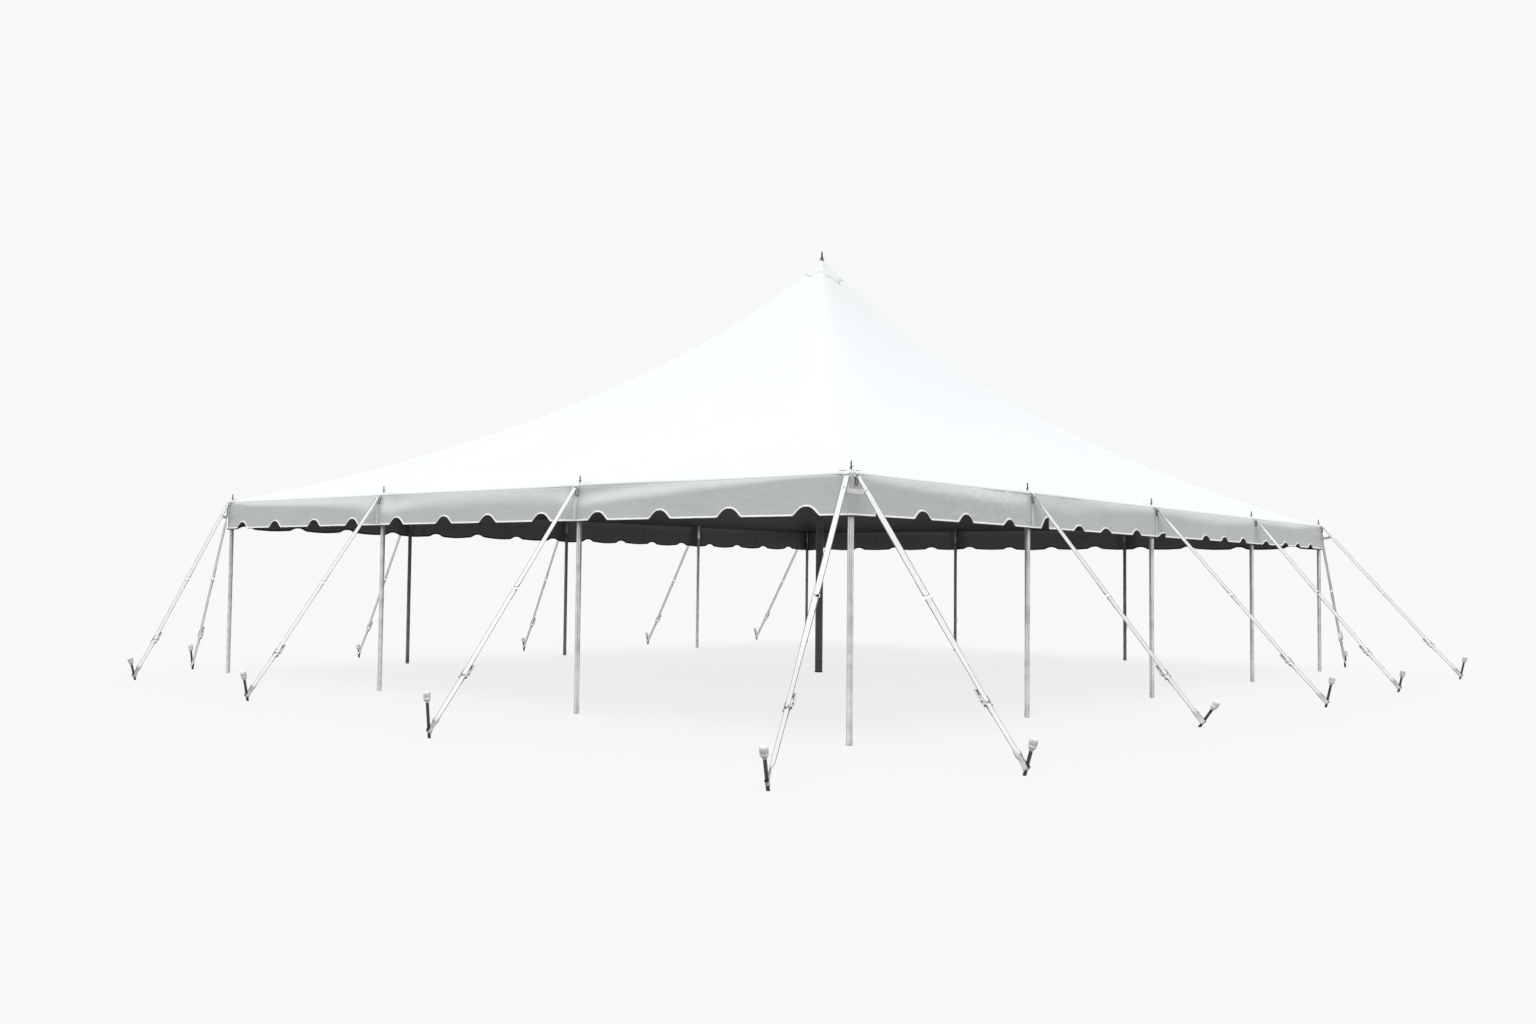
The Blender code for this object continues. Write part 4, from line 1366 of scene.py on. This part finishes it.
def buildSidePoles():
    r, foot, high = sidePole["radius"], sidePole["footRadius"], sidePole["footHeight"]
    tube = [(0.0, high - 0.004), (r - 0.001, high - 0.004), (r, high - 0.003), (r, 1.905)]
    tube += [(r - 0.0008, 1.907)]
    tube += [(r - 0.0008, 1.913), (r, 1.915), (r, poleTop - 0.006), (r - 0.0018, poleTop - 0.0015)]
    tube += [(r - 0.0045, poleTop), (0.0, poleTop)]
    shoe = [(0.0, 0.0), (foot - 0.0075, 0.0), (foot - 0.003, 0.002), (foot - 0.0006, 0.006), (foot, 0.010)]
    shoe += [(foot, high - 0.002), (foot - 0.0006, high), (r - 0.0004, high + 0.0004), (0.0, high + 0.0004)]
    p, tip = sidePole["pin"], eave + sidePole["pinAbove"]
    pin = [(0.0, poleTop - 0.004), (0.0125, poleTop - 0.004), (0.0125, poleTop), (p, poleTop + 0.0004)]
    pin += [(p, eave + 0.006), (0.0098, eave + 0.0065), (0.0102, eave + 0.0075), (0.0102, eave + 0.0105)]
    pin += [(0.0094, eave + 0.0115), (p, eave + 0.012), (p, tip - 0.014), (p - 0.0014, tip - 0.012)]
    pin += [(p - 0.0014, tip - 0.008), (p, tip - 0.0065), (p * 0.80, tip - 0.002)]
    pin += [(p * 0.35, tip), (0.0, tip)]
    parts = [turned(tube, 32, "pole"), turned(shoe, 32, "pole"), turned(pin, 20, "dark")]
    for height in (0.036, 1.93):  # rivets that hold the foot and the plug
        for angle in (0.6, 0.6 + math.pi):
            rivet = [(0, -0.002), (0.0038, -0.002), (0.0036, 0.0008), (0.0020, 0.0018), (0, 0.0021)]
            model = turned(rivet, 10, "zinc", ("Y", math.pi / 2))
            flip = 0 if max(vert.co.x for vert in model.data.vertices) > 0.00205 else math.pi  # head outwards
            move = Matrix.Translation((foot if height < 1 else r, 0, height))
            place = Matrix.Rotation(angle, 4, "Z") @ move
            model.data.transform(place @ Matrix.Rotation(flip, 4, "Z"))
            parts.append(model)
    poleModel = joinModels(parts, "poleModel", 40.0)
    wrapFlow(poleModel)
    poles = [("front", n) for n in range(5)] + [("back", n) for n in range(5)]
    poles += [(side, n) for side in ("left", "right") for n in (1, 2)]
    # painted shade: these back and right poles take the darker copy of the pole finish
    shadedPoles = {("back", 1), ("back", 2), ("back", 4), ("right", 1), ("right", 2)}
    for side, index in poles:
        number = index if side in ("left", "right") else index + 1
        name = f"pole_{side}_{number}"
        place = Matrix.Translation(sides[side]["poles"][index]) @ Matrix.Rotation(index * 1.3, 4, "Z")
        piece = copyModel(poleModel, "tube_" + name[5:], "side_pole_metal", [place], name)
        if (side, index) in shadedPoles:
            for slot, finish in enumerate(piece.data.materials):
                if finish == looks["pole"]:
                    piece.data.materials[slot] = looks["poleDull"]
    dropModels(poleModel)


buildSidePoles()
print("side poles stood up")

# Centre pole
centre = {"radius": 0.050, "foot": 0.056, "joint": 2.75, "spike": 0.012, "spikeAbove": 0.100}
centreTop = peak - 0.0043


def buildCentrePole():
    r, foot, joint, spike = centre["radius"], centre["foot"], centre["joint"], centre["spike"]
    sleeve = r + 0.006
    shaft = [(0, 0.011), (r, 0.011), (r, joint - 0.152), (r, joint + 0.152), (r, centreTop - 0.142)]
    shaft += [(r - 0.0015, centreTop - 0.139), (r * 0.60, centreTop - 0.046), (r * 0.55, centreTop - 0.036)]
    shaft += [(r * 0.52, centreTop - 0.003), (r * 0.46, centreTop), (0, centreTop)]
    collar = [(r - 0.001, joint - 0.150), (sleeve - 0.001, joint - 0.150), (sleeve, joint - 0.148)]
    collar += [(sleeve, joint - 0.004), (sleeve - 0.001, joint - 0.003), (sleeve - 0.001, joint + 0.003)]
    collar += [(sleeve, joint + 0.004), (sleeve, joint + 0.148), (sleeve - 0.001, joint + 0.150)]
    collar += [(r - 0.001, joint + 0.150)]
    plate = [(0, 0), (foot - 0.001, 0), (foot, 0.001), (foot, 0.008), (foot - 0.002, 0.010)]
    plate += [(r + 0.001, 0.013)]
    plate += [(r - 0.001, 0.014), (0, 0.014)]
    top = peak + centre["spikeAbove"]
    point = [(0, centreTop - 0.004), (spike, centreTop - 0.004), (spike, peak + 0.006)]
    point += [(spike + 0.010, peak + 0.007), (spike + 0.011, peak + 0.009), (spike + 0.011, peak + 0.013)]
    point += [(spike + 0.009, peak + 0.015), (spike, peak + 0.016), (spike * 0.95, top - 0.030)]
    point += [(spike * 0.65, top - 0.010), (spike * 0.3, top), (0, top)]
    parts = [turned(outline, 40, "centre") for outline in (shaft, collar)]
    parts += [turned(plate, 40, "dark"), turned(point, 24, "dark")]
    for height in (joint - 0.10, joint + 0.10):  # bolts through the sleeve
        bolt = [(0, -sleeve - 0.010), (0.007, -sleeve - 0.010), (0.0085, -sleeve - 0.008)]
        bolt += [(0.0085, -sleeve + 0.001), (0.005, -sleeve + 0.002), (0.005, sleeve - 0.002)]
        bolt += [(0.0085, sleeve - 0.001), (0.0085, sleeve + 0.008)]
        bolt += [(0.007, sleeve + 0.010), (0, sleeve + 0.010)]
        model = turned(bolt, 6, "zinc")
        model.data.transform(Matrix.Translation((0, 0, height)) @ Matrix.Rotation(math.pi / 2, 4, "X"))
        parts.append(model)
    model = joinModels(parts, "centrePoleModel", 40.0)
    copyModel(model, "centrePoleTube", "centre_pole_metal", [Matrix()], "centre_pole")
    dropModels(model)


buildCentrePole()
print("centre pole raised")


# Grommets and pin rings on the canopy, and the reinforced patch round the spike
fitting = {"grommet": 0.0150, "grommetWire": 0.0045, "loose": 0.0155, "looseWire": 0.0020, "lift": 0.0042}


def buildFittings():
    addTorus(fitting["grommet"], fitting["grommetWire"])
    bpy.ops.transform.resize(value=(1, 1, 0.42), center_override=(0, 0, 0))
    grommet = finishModel("zinc")
    addTorus(fitting["loose"], fitting["looseWire"], 20, 6)
    loose = finishModel("dark", ("X", 0.32), (0.004, 0, 0.022))
    model = joinModels([grommet, loose], "pinFittings", 60.0)
    spots = [Matrix.Translation((pin.x, pin.y, roofTop(pin.x, pin.y) + fitting["lift"])) for pin in pins]
    copyModel(model, "pinFittings", "side_pole_metal", spots)
    dropModels(model)


patchSize = {"inner": 0.022, "outer": 0.27, "scallop": 0.022, "count": 96, "rows": 8, "lift": 0.0026}


def buildPeakPatch():  # doubled cloth round the spike, with a scalloped edge
    count, rows, inner = patchSize["count"], patchSize["rows"], patchSize["inner"]
    shape, grid = clothShape(), []
    for row in range(rows + 1):
        ring = []
        for index in range(count):
            angle = math.tau * index / count
            outer = patchSize["outer"] + patchSize["scallop"] * math.cos(angle * 8)
            reach = inner + (outer - inner) * row / rows
            x, y = reach * math.cos(angle), reach * math.sin(angle)
            ring.append(shape.verts.new((x, y, roofTop(x, y) + patchSize["lift"])))
        grid.append(ring)
    for row in range(rows):
        for index in range(count):
            corners = ((index, row), (index, row + 1), (index + 1, row + 1), (index + 1, row))
            addFace(shape, [(grid[b][a % count], (a * 0.018, b * 0.03)) for a, b in corners])
    patch = meshPiece(shape, "peakPatch", "canopy_vinyl", ("canopy",))
    modify(patch, "SOLIDIFY", thickness=0.0030, offset=-1)
    return patch


buildFittings()
patch = buildPeakPatch()
print("fittings placed")

# The sheets' cut sizes
roofArea = 2 * (edgeX + edgeY) * 0.03 + 132.0
roofFlat = (2 * edgeX, 13.2)
for side, info in sides.items():
    flat, trims = (valance["drop"], 2 * info["end"]), [cloths[side + "Hem"]]
